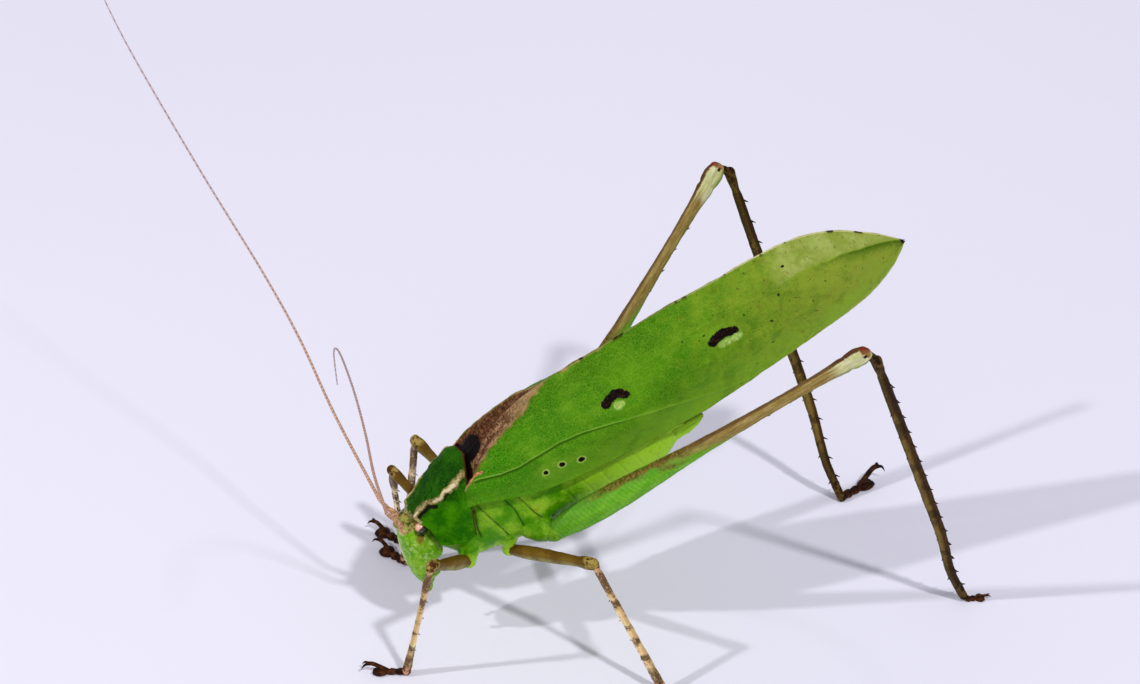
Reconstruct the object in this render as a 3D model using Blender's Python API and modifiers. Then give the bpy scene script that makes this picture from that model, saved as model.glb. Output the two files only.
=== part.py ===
"""A leaf mimicking katydid, a long horned grasshopper: a still model, life size, standing on its feet.

Metres, +Z up. The head faces -Y and the animal's left side is +X. The trunk, head and wings are modelled
level, under an empty that pitches them head down; the legs and antennae are placed from the floor. The
origin is the middle of the underside of the whole animal's box.
"""

import math

import bmesh
import bpy
import numpy as np
from mathutils import Matrix, Vector

MM = 0.001
GAP = 0.2 * MM  # clearance between neighbouring pieces
SHEET = 0.5 * MM  # thickness of wing covers and pronotum

# The trunk's frame starts between the fore hips; +Y runs along the body to the tail.
TRUNK_HEIGHT = 9.98 * MM
TRUNK_PITCH = math.radians(27.8)

# Tables are in millimetres in the trunk's frame, and are read through as smooth curves.
# Head, level sections: height, front, back, half width.
HEAD = [
    (2.15, -5.60, -3.10, 1.75),
    (3.30, -5.70, -2.40, 2.25),
    (4.80, -5.60, -1.60, 2.62),
    (6.40, -5.25, -1.10, 2.80),
    (8.00, -4.75, -0.90, 2.70),
    (9.30, -4.20, -1.00, 2.35),
    (10.20, -3.65, -1.35, 1.75),
    (10.75, -3.10, -1.90, 0.85),
]
JAWS = [
    (0.50, -5.10, -4.30, 0.55),
    (1.00, -5.40, -3.95, 1.10),
    (1.95, -5.55, -3.35, 1.60),
]
EYE_CENTRE = (2.10, -1.50, 9.75)
EYE_RADII = (0.60, 0.62, 0.60)
PALP = [(1.20, -4.55, 1.35), (1.40, -5.10, 0.65), (1.15, -5.70, 0.45)]
PALP_RADIUS = 0.28

# Pronotum, from the midline down to the lobe's hem: share across, x, y, z at its front and rear edge.
PRONOTUM_FRONT = [
    (0.00, 0.00, -1.67, 10.95),
    (0.30, 1.75, -0.95, 10.80),
    (0.62, 2.95, -0.60, 9.30),
    (1.00, 3.25, -0.75, 6.50),
]
PRONOTUM_REAR = [
    (0.00, 0.00, 7.20, 14.20),
    (0.30, 2.95, 6.30, 13.70),
    (0.62, 3.95, 5.10, 10.40),
    (1.00, 3.95, 3.40, 6.00),
]
LOBE_BULGE = 0.35  # how far the lobe stands out between its edges
LOBE_SAG = 0.95  # how far its hem hangs below the line between its corners

# Trunk sections: y, lowest, widest and highest z, half width.
THORAX = [
    (-0.90, 4.20, 6.40, 8.80, 1.60),
    (0.80, 1.60, 5.50, 9.80, 2.55),
    (3.60, 0.45, 5.10, 11.50, 2.95),
    (6.20, 0.15, 5.10, 12.60, 3.75),
    (9.00, -0.20, 5.10, 12.75, 4.10),
    (12.90, -0.40, 4.80, 12.30, 3.95),
]
ABDOMEN = [
    (13.15, -0.40, 4.70, 11.80, 3.75),
    (16.50, -0.90, 4.20, 10.80, 3.85),
    (20.50, -1.10, 3.50, 9.60, 3.75),
    (24.50, -1.60, 2.30, 7.40, 3.20),
    (26.60, -1.50, 1.40, 5.00, 2.40),
    (28.20, -0.90, 0.70, 2.80, 1.20),
]
OVIPOSITOR = [
    (28.00, -1.10, -0.20, 0.75, 0.55),
    (29.40, -1.25, -0.40, 0.50, 0.46),
    (31.00, -1.00, -0.35, 0.30, 0.34),
    (32.20, -0.30, -0.05, 0.20, 0.25),
]
CERCUS = [(1.15, 27.60, 1.90), (1.60, 28.80, 1.95), (1.50, 29.70, 1.70)]
CERCUS_RADIUS = 0.30

# Left wing cover: y, how far its hem starts behind its crown, crown z, then x and z of shoulder,
# belly and hem.
TEGMEN = [
    (7.5, -1.6, 13.60, 3.00, 13.15, 4.45, 12.00, 4.85, 10.40),
    (10.0, -0.7, 14.70, 3.05, 14.40, 5.10, 11.90, 5.40, 9.00),
    (13.0, -0.1, 15.65, 2.85, 15.30, 5.70, 11.80, 5.80, 7.90),
    (16.5, 0.0, 16.40, 2.40, 15.60, 5.90, 11.50, 5.85, 7.00),
    (20.5, 0.0, 16.60, 2.20, 14.90, 5.80, 11.00, 5.60, 6.15),
    (27.0, 0.0, 16.40, 2.30, 14.30, 5.35, 10.30, 4.90, 4.95),
    (34.0, 0.0, 16.35, 2.40, 14.10, 4.65, 9.90, 4.00, 3.70),
    (41.0, 0.0, 15.85, 2.40, 13.40, 3.85, 9.20, 3.00, 3.20),
    (47.0, 0.0, 15.55, 2.35, 12.20, 3.20, 8.30, 2.50, 3.15),
    (52.0, 0.0, 14.65, 2.10, 10.90, 2.70, 7.20, 2.05, 3.20),
    (56.0, 0.0, 12.55, 1.60, 9.60, 2.05, 6.40, 1.55, 3.45),
    (59.5, 0.0, 9.30, 1.10, 7.80, 1.35, 5.90, 1.10, 4.40),
    (62.2, 0.0, 6.15, 0.75, 6.10, 0.80, 5.95, 0.75, 5.80),
]
TEGMEN_ACROSS = (0.0, 0.28, 0.62, 1.0)  # where crown, shoulder, belly and hem lie across the cover

# Folded hind wing, under the cover: y, lowest, widest and highest z, half thickness.
HIND_WING = [
    (15.0, 12.3, 13.2, 14.1, 0.30),
    (20.0, 11.2, 13.0, 14.8, 0.42),
    (34.0, 8.6, 11.6, 14.2, 0.48),
    (46.0, 7.6, 10.2, 12.8, 0.40),
    (53.0, 7.8, 8.8, 10.2, 0.30),
]
HIND_WING_CENTRE = 0.75

# Legs, in millimetres from the floor under the fore hips. "root" is the coxa's start, in the trunk's
# frame; "shin", where it differs from the knee, is the tibia's start; "heading" is where the foot
# points, in degrees from +X; "foot" and "lift" scale the foot and how high its claws are held.
LEGS = {
    "fore_left": dict(
        root=(1.75, 1.9, 4.2), hip=(2.0, -0.28, 11.58), knee=(9.4, -6.53, 18.1),
        ankle=(6.1, -9.1, 0.55), heading=-110, foot=0.9, lift=1.0,
    ),
    "mid_left": dict(
        root=(2.4, 6.6, 3.4), hip=(2.3, 4.39, 12.45), knee=(13.41, 11.19, 17.32),
        ankle=(17.78, 18.17, 0.55), heading=53, foot=0.95, lift=1.0,
    ),
    "hind_left": dict(
        root=(2.9, 8.8, 1.9), hip=(4.3, 9.37, 15.5), knee=(19.25, 39.61, 44.25),
        shin=(19.14, 41.0, 42.92), ankle=(12.0, 57.1, 1.5), heading=68, foot=0.9, lift=0.7,
    ),
    "fore_right": dict(
        root=(-1.75, 1.9, 4.2), hip=(-2.0, -0.28, 11.2), knee=(-10.62, -6.1, 16.79),
        ankle=(-17.14, -3.76, 0.55), heading=-144, foot=0.9, lift=1.0,
    ),
    "mid_right": dict(
        root=(-2.4, 6.6, 3.4), hip=(-2.3, 4.39, 12.45), knee=(-12.08, -2.81, 19.4),
        ankle=(-13.31, -4.36, 0.55), heading=-149, foot=0.9, lift=1.0,
    ),
    "hind_right": dict(
        root=(-2.9, 8.8, 1.9), hip=(-4.6, 8.75, 15.9), knee=(-16.6, 35.4, 47.2),
        shin=(-16.8, 37.0, 46.3), ankle=(-9.45, 50.95, 0.55), heading=114, foot=1.2, lift=1.35,
    ),
}
# Limb profiles: share of the length, half thickness and half depth.
COXA = {
    "fore": [(0.0, 1.15, 1.15), (0.6, 1.00, 1.00), (1.0, 0.80, 0.85)],
    "mid": [(0.0, 1.15, 1.15), (0.6, 1.05, 1.05), (1.0, 0.80, 0.85)],
    "hind": [(0.0, 1.45, 1.55), (0.6, 1.45, 1.60), (1.0, 1.15, 1.40)],
}
FEMUR = {
    "fore": [(0.0, 0.70, 0.78), (0.2, 0.74, 0.88), (0.6, 0.62, 0.74), (0.85, 0.56, 0.66),
             (1.0, 0.60, 0.78)],
    "mid": [(0.0, 0.68, 0.76), (0.2, 0.72, 0.84), (0.6, 0.60, 0.72), (0.85, 0.55, 0.64),
            (1.0, 0.60, 0.78)],
    "hind": [(0.0, 0.95, 1.35), (0.07, 1.25, 1.78), (0.2, 1.35, 1.86), (0.33, 1.10, 1.52),
             (0.46, 0.85, 1.08), (0.62, 0.70, 0.86), (0.82, 0.62, 0.78), (0.93, 0.68, 0.98),
             (0.975, 0.78, 1.30), (1.0, 0.72, 1.15)],
}
TIBIA = {
    "fore": [(0.0, 0.50, 0.60), (0.14, 0.52, 0.62), (0.3, 0.42, 0.48), (0.85, 0.42, 0.46),
             (1.0, 0.50, 0.52)],
    "mid": [(0.0, 0.50, 0.58), (0.14, 0.46, 0.52), (0.3, 0.42, 0.46), (0.85, 0.42, 0.46),
            (1.0, 0.50, 0.52)],
    "hind": [(0.0, 0.56, 0.66), (0.06, 0.52, 0.62), (0.3, 0.50, 0.60), (0.75, 0.48, 0.58),
             (0.94, 0.50, 0.56), (1.0, 0.50, 0.52)],
}
# Tarsus, forward from the ankle: x, height of its middle (None for the ankle's), half width and
# half height; its sole is trimmed flat.
TARSUS = [
    (0.0, None, 0.50, 0.50),
    (1.0, 0.50, 0.46, 0.52),
    (1.7, 0.44, 0.42, 0.50),
    (2.5, 0.42, 0.62, 0.48),
    (3.4, 0.38, 0.82, 0.44),
    (4.1, 0.32, 0.70, 0.36),
]
CLAW_STALK = [(2.7, 0.0, 0.55), (3.5, 0.0, 1.20), (4.3, 0.0, 1.60), (5.0, 0.0, 1.62)]
CLAW = [(4.7, 0.0, 1.60), (5.35, 0.32, 1.55), (5.70, 0.48, 1.05)]
STALK_RADIUS = 0.26
CLAW_RADIUS = 0.24

SPINE_LENGTH = 0.75
SPINE_RADIUS = 0.20
TIBIA_SPINES = 7
FEMUR_SPINES = 5

# Antennae: start and direction of the scape in the trunk's frame, then the points that the flagellum
# bends through, from the floor under the fore hips.
ANTENNAE = {
    "left": dict(
        base=(0.9, -3.3, 10.3), scape=(0.08, -0.14, 0.99),
        bends=[(2.8, -10.7, 27.1), (4.5, -12.1, 33.9), (6.8, -13.4, 40.7), (9.8, -14.9, 47.0),
               (14.0, -16.5, 52.6), (19.8, -18.1, 56.6), (26.7, -19.3, 57.7)],
    ),
    "right": dict(
        base=(-0.9, -3.3, 10.3), scape=(-0.25, -0.2, 0.95),
        bends=[(-7.2, -13.1, 28.7), (-12.1, -15.6, 36.3), (-16.7, -18.5, 43.1), (-23.7, -23.5, 53.3),
               (-31.8, -28.9, 65.1), (-36.5, -31.6, 72.5)],
    ),
}
SCAPE_LENGTH = 3.0
SCAPE_RADIUS = 0.36
FLAGELLUM_RADIUS = 0.26
FLAGELLUM_LENGTHS = 3
FLAGELLUM_STEPS = 24

MATERIALS = {
    "green skin": ((0.16, 0.42, 0.04), 0.45),
    "green leaf": ((0.12, 0.36, 0.03), 0.4),
    "pronotum green": ((0.04, 0.20, 0.03), 0.5),
    "eye": ((0.70, 0.42, 0.33), 0.2),
    "tan horn": ((0.50, 0.33, 0.20), 0.45),
    "olive brown": ((0.20, 0.15, 0.05), 0.45),
    "hind femur green": ((0.22, 0.38, 0.08), 0.45),
    "dark brown": ((0.07, 0.04, 0.02), 0.45),
    "membrane": ((0.55, 0.60, 0.40), 0.35),
}


def clear_scene():
    for old in list(bpy.data.objects):
        bpy.data.objects.remove(old)


def material(label):
    found = bpy.data.materials.get(label)
    if found:
        return found
    colour, roughness = MATERIALS[label]
    made = bpy.data.materials.new(label)
    made.use_nodes = True
    shader = made.node_tree.nodes["Principled BSDF"]
    shader.inputs["Base Color"].default_value = (*colour, 1.0)
    shader.inputs["Roughness"].default_value = roughness
    return made


def row_at(rows, t):
    """The other columns at t, on a smooth curve through the rows, whose first column rises."""
    table = np.array(rows, float)
    keys, values = table[:, 0], table[:, 1:]
    slopes = np.gradient(values, keys, axis=0)
    i = int(np.clip(np.searchsorted(keys, t) - 1, 0, len(keys) - 2))
    span = keys[i + 1] - keys[i]
    s = (t - keys[i]) / span
    start, end = values[i], values[i + 1]
    blend = s * s * (3 - 2 * s)
    bend_in = s * (1 - s) ** 2 * span
    bend_out = s * s * (s - 1) * span
    return start + (end - start) * blend + slopes[i] * bend_in + slopes[i + 1] * bend_out


def add_piece(name, mesh, label, parent, matrix=None):
    piece = bpy.data.objects.new(name, mesh)
    mesh.materials.clear()
    mesh.materials.append(material(label))
    bpy.data.collections["katydid"].objects.link(piece)
    piece.parent = parent
    if matrix is not None:
        piece.matrix_local = matrix
    bpy.context.view_layer.update()
    return piece


def finish_mesh(bm, name):
    """A smooth shaded mesh with its faces pointing out."""
    bmesh.ops.recalc_face_normals(bm, faces=bm.faces)
    mesh = bpy.data.meshes.new(name)
    bm.to_mesh(mesh)
    bm.free()
    mesh.shade_smooth()
    mesh.set_sharp_from_angle(angle=math.radians(50))
    return mesh


def loft(name, rings):
    """A closed body through rings of as many points each."""
    bm = bmesh.new()
    loops = [[bm.verts.new(point) for point in ring] for ring in rings]
    for here, ahead in zip(loops, loops[1:]):
        for i in range(len(here)):
            j = (i + 1) % len(here)
            bm.faces.new((here[i], here[j], ahead[j], ahead[i]))
    bm.faces.new(loops[0])
    bm.faces.new(loops[-1])
    return finish_mesh(bm, name)


def settle(piece):
    """Makes the piece's modifiers part of its mesh."""
    bpy.context.view_layer.update()
    graph = bpy.context.evaluated_depsgraph_get()
    mesh = bpy.data.meshes.new_from_object(piece.evaluated_get(graph))
    piece.modifiers.clear()
    piece.data = mesh


def combine(piece, tool, operation):
    """A Boolean with a tool object, which is then removed."""
    step = piece.modifiers.new(operation, "BOOLEAN")
    step.operation = operation
    step.object = tool
    settle(piece)
    bpy.data.objects.remove(tool)


def add_tool(mesh, matrix):
    tool = bpy.data.objects.new("cutter", mesh)
    tool.display_type = "WIRE"
    tool.hide_render = True
    tool.matrix_world = matrix
    bpy.data.collections["cutters"].objects.link(tool)
    return tool


def clear_of(piece, *neighbours):
    """Cuts the piece back from its neighbours, leaving the clearance between them."""
    for neighbour in neighbours:
        bm = bmesh.new()
        bm.from_mesh(neighbour.data)
        bm.normal_update()
        for vertex in bm.verts:
            vertex.co += vertex.normal * GAP
        swollen = bpy.data.meshes.new("swollen")
        bm.to_mesh(swollen)
        bm.free()
        combine(piece, add_tool(swollen, neighbour.matrix_world.copy()), "DIFFERENCE")


def trim(piece, point, normal):
    """Removes what lies beyond a plane, given in the world, and closes the cut."""
    into = piece.matrix_world.inverted()
    bm = bmesh.new()
    bm.from_mesh(piece.data)
    bmesh.ops.bisect_plane(
        bm,
        geom=bm.verts[:] + bm.edges[:] + bm.faces[:],
        dist=1e-7,
        plane_co=into @ Vector(point),
        plane_no=into.to_3x3() @ Vector(normal),
        clear_outer=True,
    )
    open_edges = [edge for edge in bm.edges if edge.is_boundary]
    bmesh.ops.holes_fill(bm, edges=open_edges, sides=0)
    piece.data = finish_mesh(bm, piece.data.name)
    return piece


def oval(half_width, up, down, sides, power=2.0):
    """Offsets across and up of an oval section whose upper and lower halves may differ."""
    points = []
    for i in range(sides):
        angle = 2 * math.pi * (i + 0.5) / sides
        c, s = math.cos(angle), math.sin(angle)
        across = half_width * math.copysign(abs(c) ** (2 / power), c)
        height = math.copysign(abs(s) ** (2 / power), s) * (up if s > 0 else down)
        points.append((across, height))
    return points


def trunk_body(name, rows, count, sides, centre=0.0, power=2.2):
    """A body lofted tailward through sections of y, lowest, widest and highest z, and half width."""
    rings = []
    for y in np.linspace(rows[0][0], rows[-1][0], count):
        low, wide, high, half_width = row_at(rows, y)
        section = oval(half_width, high - wide, wide - low, sides, power)
        rings.append([Vector((centre + a, y, wide + h)) * MM for a, h in section])
    return loft(name, rings)


def level_body(name, rows, count, sides, power=2.3):
    """A body lofted upward through sections of height, front, back and half width."""
    low, top = rows[0][0], rows[-1][0]
    rings = []
    for angle in np.linspace(0, math.pi / 2, count):
        z = low + (top - low) * math.sin(angle)  # sections crowd towards the rounded top
        front, back, half_width = row_at(rows, z)
        middle, half_depth = (front + back) / 2, (back - front) / 2
        section = oval(half_width, half_depth, half_depth, sides, power)
        rings.append([Vector((a, middle + h, z)) * MM for a, h in section])
    return loft(name, rings)


def sheet(name, grid, core):
    """A sheet on a grid of points, facing away from the core."""
    bm = bmesh.new()
    rows = [[bm.verts.new(point) for point in line] for line in grid]
    for here, ahead in zip(rows, rows[1:]):
        for i in range(len(here) - 1):
            bm.faces.new((here[i], here[i + 1], ahead[i + 1], ahead[i]))
    bm.normal_update()
    if sum(face.normal.dot(face.calc_center_median() - core) for face in bm.faces) < 0:
        bmesh.ops.reverse_faces(bm, faces=bm.faces)
    mesh = bpy.data.meshes.new(name)
    bm.to_mesh(mesh)
    bm.free()
    mesh.shade_smooth()
    return mesh


def thicken(piece):
    """Gives a sheet its thickness, inward from its outer face."""
    step = piece.modifiers.new("Solidify", "SOLIDIFY")
    step.thickness = SHEET
    step.offset = -1.0
    settle(piece)
    return piece


def tube(name, points, radii, sides_level=2):
    """A round tube as a curve, made a closed mesh."""
    curve = bpy.data.curves.new(name, "CURVE")
    curve.dimensions = "3D"
    curve.bevel_depth = 1.0
    curve.bevel_resolution = sides_level
    curve.use_fill_caps = True
    spline = curve.splines.new("POLY")
    spline.points.add(len(points) - 1)
    for place, point, radius in zip(spline.points, points, radii):
        place.co = (*point, 1.0)
        place.radius = radius
    holder = bpy.data.objects.new(name, curve)
    bpy.data.collections["cutters"].objects.link(holder)
    bpy.context.view_layer.update()
    graph = bpy.context.evaluated_depsgraph_get()
    mesh = bpy.data.meshes.new_from_object(holder.evaluated_get(graph))
    bpy.data.objects.remove(holder)
    bpy.data.curves.remove(curve)
    bm = bmesh.new()
    bm.from_mesh(mesh)
    bmesh.ops.remove_doubles(bm, verts=bm.verts, dist=1e-6)
    bpy.data.meshes.remove(mesh)
    return finish_mesh(bm, name)


def smooth_path(points, count):
    """Points on a smooth curve through a few, in metres."""
    keyed = [(i, *point) for i, point in enumerate(points)]
    last = len(points) - 1
    return [Vector(row_at(keyed, last * i / (count - 1))) * MM for i in range(count)]


def mirrored(point, side):
    return (point[0] * side, point[1], point[2])


def add_head(trunk):
    head = add_piece("head", level_body("head", HEAD, 11, 14), "green skin", trunk)
    jaws = add_piece("mouthparts", level_body("mouthparts", JAWS, 4, 12), "green skin", trunk)
    clear_of(jaws, head)
    for label, side in (("left", 1), ("right", -1)):
        bm = bmesh.new()
        bmesh.ops.create_uvsphere(bm, u_segments=12, v_segments=8, radius=1.0)
        place = Matrix.Translation(Vector(mirrored(EYE_CENTRE, side)) * MM)
        bmesh.ops.transform(
            bm, matrix=place @ Matrix.Diagonal((*(Vector(EYE_RADII) * MM), 1.0)), verts=bm.verts
        )
        add_piece(f"eye_{label}", finish_mesh(bm, "eye"), "eye", trunk)
        path = smooth_path([mirrored(point, side) for point in PALP], 6)
        radii = [PALP_RADIUS * MM] * len(path)
        palp = add_piece(f"palp_{label}", tube("palp", path, radii, 1), "green skin", trunk)
        clear_of(palp, jaws, head)
    return head


def add_pronotum(trunk):
    """The saddle over the first segment: a flat disc between two keels, and a hanging lobe each side."""
    across, along = 6, 7
    grid = []
    for j in range(along):
        v = j / (along - 1)
        line = []
        for i in range(-across, across + 1):
            u = abs(i) / across
            front, rear = row_at(PRONOTUM_FRONT, u), row_at(PRONOTUM_REAR, u)
            x, y, z = front + (rear - front) * v
            belly = math.sin(math.pi * v) * max(0.0, (u - 0.3) / 0.7)
            x += LOBE_BULGE * belly
            z -= LOBE_SAG * belly * u
            line.append(Vector((math.copysign(x, i), y, z)) * MM)
        grid.append(line)
    mesh = sheet("pronotum", grid, Vector((0, 2.5, 6.5)) * MM)
    return thicken(add_piece("pronotum", mesh, "pronotum green", trunk))


def tegmen_point(y, u, side):
    """A point of a wing cover's outer face: y along, u from crown (0) to hem (1)."""
    lag, crown, *rest = row_at(TEGMEN, y)
    xs = (0.1, rest[0], rest[2], rest[4])
    zs = (crown, rest[1], rest[3], rest[5])
    x, z = row_at(list(zip(TEGMEN_ACROSS, xs, zs)), u)
    return Vector((x * side, y + lag * u, z)) * MM


def add_wings(trunk, label, side):
    """A wing cover, and the folded hind wing under it."""
    grid = []
    for y in np.linspace(TEGMEN[0][0], TEGMEN[-1][0], 17):
        grid.append([tegmen_point(y, u, side) for u in np.linspace(0, 1, 7)])
    mesh = sheet("tegmen", grid, Vector((-2 * side, 25, 8)) * MM)
    cover = thicken(add_piece(f"tegmen_{label}", mesh, "green leaf", trunk))
    middle = trunk.matrix_world @ Vector((side * GAP / 2, 0, 0))
    trim(cover, middle, Vector((-side, 0, 0)))
    wing = trunk_body("hind_wing", HIND_WING, 7, 8, centre=HIND_WING_CENTRE * side, power=2.0)
    add_piece(f"hind_wing_{label}", wing, "membrane", trunk)


def add_trunk(trunk, head, pronotum):
    thorax = add_piece("thorax", trunk_body("thorax", THORAX, 8, 14), "green skin", trunk)
    clear_of(thorax, head, pronotum)
    add_piece("abdomen", trunk_body("abdomen", ABDOMEN, 9, 14), "green skin", trunk)
    abdomen = bpy.data.objects["abdomen"]
    blade = trunk_body("ovipositor", OVIPOSITOR, 5, 8)
    clear_of(add_piece("ovipositor", blade, "green skin", trunk), abdomen)
    for label, side in (("left", 1), ("right", -1)):
        path = smooth_path([mirrored(point, side) for point in CERCUS], 5)
        mesh = tube("cercus", path, [CERCUS_RADIUS * MM] * len(path), 1)
        clear_of(add_piece(f"cercus_{label}", mesh, "green skin", trunk), abdomen)
    return thorax


def limb_matrix(start, end, outward):
    """A frame at start, its +Z towards end and its +Y on the outer side of the leg's bend."""
    along = (end - start).normalized()
    depth = (outward - along * outward.dot(along)).normalized()
    across = depth.cross(along)
    turn = Matrix((across, depth, along)).transposed().to_4x4()
    return Matrix.Translation(start) @ turn


def limb(name, rows, length, count, sides):
    """A limb along +Z with a rounded end on each joint's centre."""
    rings = []

    def ring(z, half_width, half_depth):
        section = oval(half_width, half_depth, half_depth, sides)
        rings.append([Vector((a * MM, h * MM, z)) for a, h in section])

    def cap(t, z, away):
        half_width, half_depth = row_at(rows, t)
        steps = (75, 40) if away < 0 else (40, 75)
        for degrees in steps:
            shrink = math.cos(math.radians(degrees))
            reach = half_width * math.sin(math.radians(degrees)) * MM
            ring(z + away * reach, half_width * shrink, half_depth * shrink)

    cap(0.0, 0.0, -1)
    for i in range(count):
        t = i / (count - 1)
        ring(t * length, *row_at(rows, t))
    cap(1.0, length, 1)
    return loft(name, rings)


def part_at(joint, nearer, nearer_end, farther, farther_end):
    """Parts two limbs at the plane that halves their joint."""
    normal = ((nearer_end - joint).normalized() - (farther_end - joint).normalized()).normalized()
    trim(nearer, joint + normal * GAP / 2, -normal)
    trim(farther, joint - normal * GAP / 2, normal)


def add_spines(piece, starts, directions):
    """Short spines grown out of a limb: places and directions in its own frame."""
    bm = bmesh.new()
    for start, direction in zip(starts, directions):
        turn = direction.to_track_quat("Z", "Y").to_matrix().to_4x4()
        place = Matrix.Translation(start + direction * SPINE_LENGTH * MM / 2)
        bmesh.ops.create_cone(
            bm, cap_ends=True, segments=4, radius1=SPINE_RADIUS * MM, radius2=SPINE_RADIUS * MM / 3,
            depth=SPINE_LENGTH * MM, matrix=place @ turn,
        )
    mesh = bpy.data.meshes.new("spines")
    bm.to_mesh(mesh)
    bm.free()
    combine(piece, add_tool(mesh, piece.matrix_world.copy()), "UNION")


def hind_spines(femur, femur_length, tibia, tibia_length):
    """Two rows along the tibia's outer edge, and one under the femur's thin half."""
    starts, directions = [], []
    for i in range(TIBIA_SPINES):
        for side in (-1, 1):
            t = 0.16 + 0.74 * (i + (0.25 if side > 0 else -0.25)) / (TIBIA_SPINES - 1)
            starts.append(Vector((side * 0.28 * MM, 0.38 * MM, t * tibia_length)))
            directions.append(Vector((side * 0.35, 0.75, 0.55)).normalized())
    add_spines(tibia, starts, directions)
    starts, directions = [], []
    for i in range(FEMUR_SPINES):
        t = 0.50 + 0.36 * i / (FEMUR_SPINES - 1)
        starts.append(Vector((0.0, -0.45 * MM, t * femur_length)))
        directions.append(Vector((0.0, -0.8, 0.6)).normalized())
    add_spines(femur, starts, directions)


def tarsus_mesh(name, ankle_height, scale):
    """A foot along +X on the floor: two short joints, a broad lobed one, and a raised pair of claws."""
    rows = [(x, z, w, h) if z else (x, ankle_height / scale, w, h) for x, z, w, h in TARSUS]
    first, last = rows[0][0], rows[-1][0]
    rings = []
    for x in (first - 0.42, first - 0.25):
        shrink = math.sqrt(1 - ((first - x) / 0.5) ** 2)
        section = oval(rows[0][2] * shrink, rows[0][3] * shrink, rows[0][3] * shrink, 8)
        rings.append([Vector((x, a, rows[0][1] + h)) for a, h in section])
    for i in range(8):
        x = first + (last - first) * i / 7
        middle, half_width, half_height = row_at(rows, x)
        section = oval(half_width, half_height, half_height, 8)
        rings.append([Vector((x, a, middle + h)) for a, h in section])
    size = scale * MM
    return loft(name, [[point * size for point in ring] for ring in rings])


def add_claws(foot, scale, lift):
    """The claws' stalk, and the two claws, grown out of a foot."""
    start = CLAW_STALK[0][2]

    def placed(x, y, z):
        return Vector((x, y, start + (z - start) * lift)) * scale

    stalk = smooth_path([placed(*point) for point in CLAW_STALK], 6)
    tool = add_tool(tube("stalk", stalk, [STALK_RADIUS * MM] * len(stalk), 1), foot.matrix_world.copy())
    combine(foot, tool, "UNION")
    for side in (-1, 1):
        points = smooth_path([placed(x, y * side, z) for x, y, z in CLAW], 4)
        radii = [CLAW_RADIUS * MM * share for share in (1.0, 0.95, 0.8, 0.5)]
        combine(foot, add_tool(tube("claw", points, radii, 1), foot.matrix_world.copy()), "UNION")


def add_leg(stance, trunk, thorax, name, leg):
    """Coxa, femur, tibia and tarsus, each in its own joint's frame and parted at the joints."""
    kind, side = name.split("_")
    root = trunk.matrix_world @ (Vector(leg["root"]) * MM)
    hip, knee, ankle = (Vector(leg[key]) * MM for key in ("hip", "knee", "ankle"))
    shin = Vector(leg["shin"]) * MM if "shin" in leg else knee
    outward = knee - (hip + ankle) / 2
    heading = math.radians(leg["heading"])
    toe = ankle + Vector((math.cos(heading), math.sin(heading), 0.0)) * MM
    femur_length, tibia_length = (knee - hip).length, (ankle - shin).length

    mesh = limb("coxa", COXA[kind], (hip - root).length, 4, 10)
    coxa = add_piece(f"coxa_{name}", mesh, "green skin", stance, limb_matrix(root, hip, outward))
    mesh = limb("femur", FEMUR[kind], femur_length, 13 if kind == "hind" else 7, 10)
    label = "hind femur green" if kind == "hind" else "olive brown"
    femur = add_piece(f"femur_{name}", mesh, label, stance, limb_matrix(hip, knee, outward))
    mesh = limb("tibia", TIBIA[kind], tibia_length, 8 if kind == "hind" else 7, 8)
    tibia = add_piece(f"tibia_{name}", mesh, "olive brown", stance, limb_matrix(shin, ankle, outward))
    scale = leg["foot"]
    mesh = tarsus_mesh("tarsus", leg["ankle"][2], scale)
    place = Matrix.Translation((ankle.x, ankle.y, 0.0)) @ Matrix.Rotation(heading, 4, "Z")
    tarsus = add_piece(f"tarsus_{name}", mesh, "dark brown", stance, place)

    part_at(hip, coxa, root, femur, knee)
    part_at((knee + shin) / 2, femur, hip, tibia, ankle)
    part_at(ankle, tibia, shin, tarsus, toe)
    trim(tarsus, Vector((0, 0, 0)), Vector((0, 0, -1)))
    clear_of(coxa, thorax)
    if kind == "hind":
        clear_of(femur, thorax, bpy.data.objects["abdomen"], bpy.data.objects[f"tegmen_{side}"])
        hind_spines(femur, femur_length, tibia, tibia_length)
    add_claws(tarsus, scale, leg["lift"])


def add_antenna(stance, trunk, head, label, antenna):
    """A thick scape, then a long thin flagellum in a few lengths that meet end to end."""
    base = trunk.matrix_world @ (Vector(antenna["base"]) * MM)
    along = (trunk.matrix_world.to_3x3() @ Vector(antenna["scape"])).normalized()
    tip = base + along * SCAPE_LENGTH * MM
    path = [base + (tip - base) * share for share in (-0.2, 0.0, 0.35, 0.7, 0.95)]
    radii = [SCAPE_RADIUS * MM * share for share in (1.0, 1.05, 1.0, 0.85, 0.72)]
    scape = add_piece(f"scape_{label}", tube("scape", path, radii, 1), "tan horn", stance)
    clear_of(scape, head)

    bends = [tip / MM] + [Vector(bend) for bend in antenna["bends"]]
    points = smooth_path(bends, FLAGELLUM_STEPS + 1)
    each = FLAGELLUM_STEPS // FLAGELLUM_LENGTHS
    for k in range(FLAGELLUM_LENGTHS):
        run = points[k * each:(k + 1) * each + 1]
        run[0] = run[0] + (run[1] - run[0]).normalized() * GAP
        mesh = tube("flagellum", run, [FLAGELLUM_RADIUS * MM] * len(run), 1)
        add_piece(f"flagellum_{label}_{k + 1}", mesh, "tan horn", stance)


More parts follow.
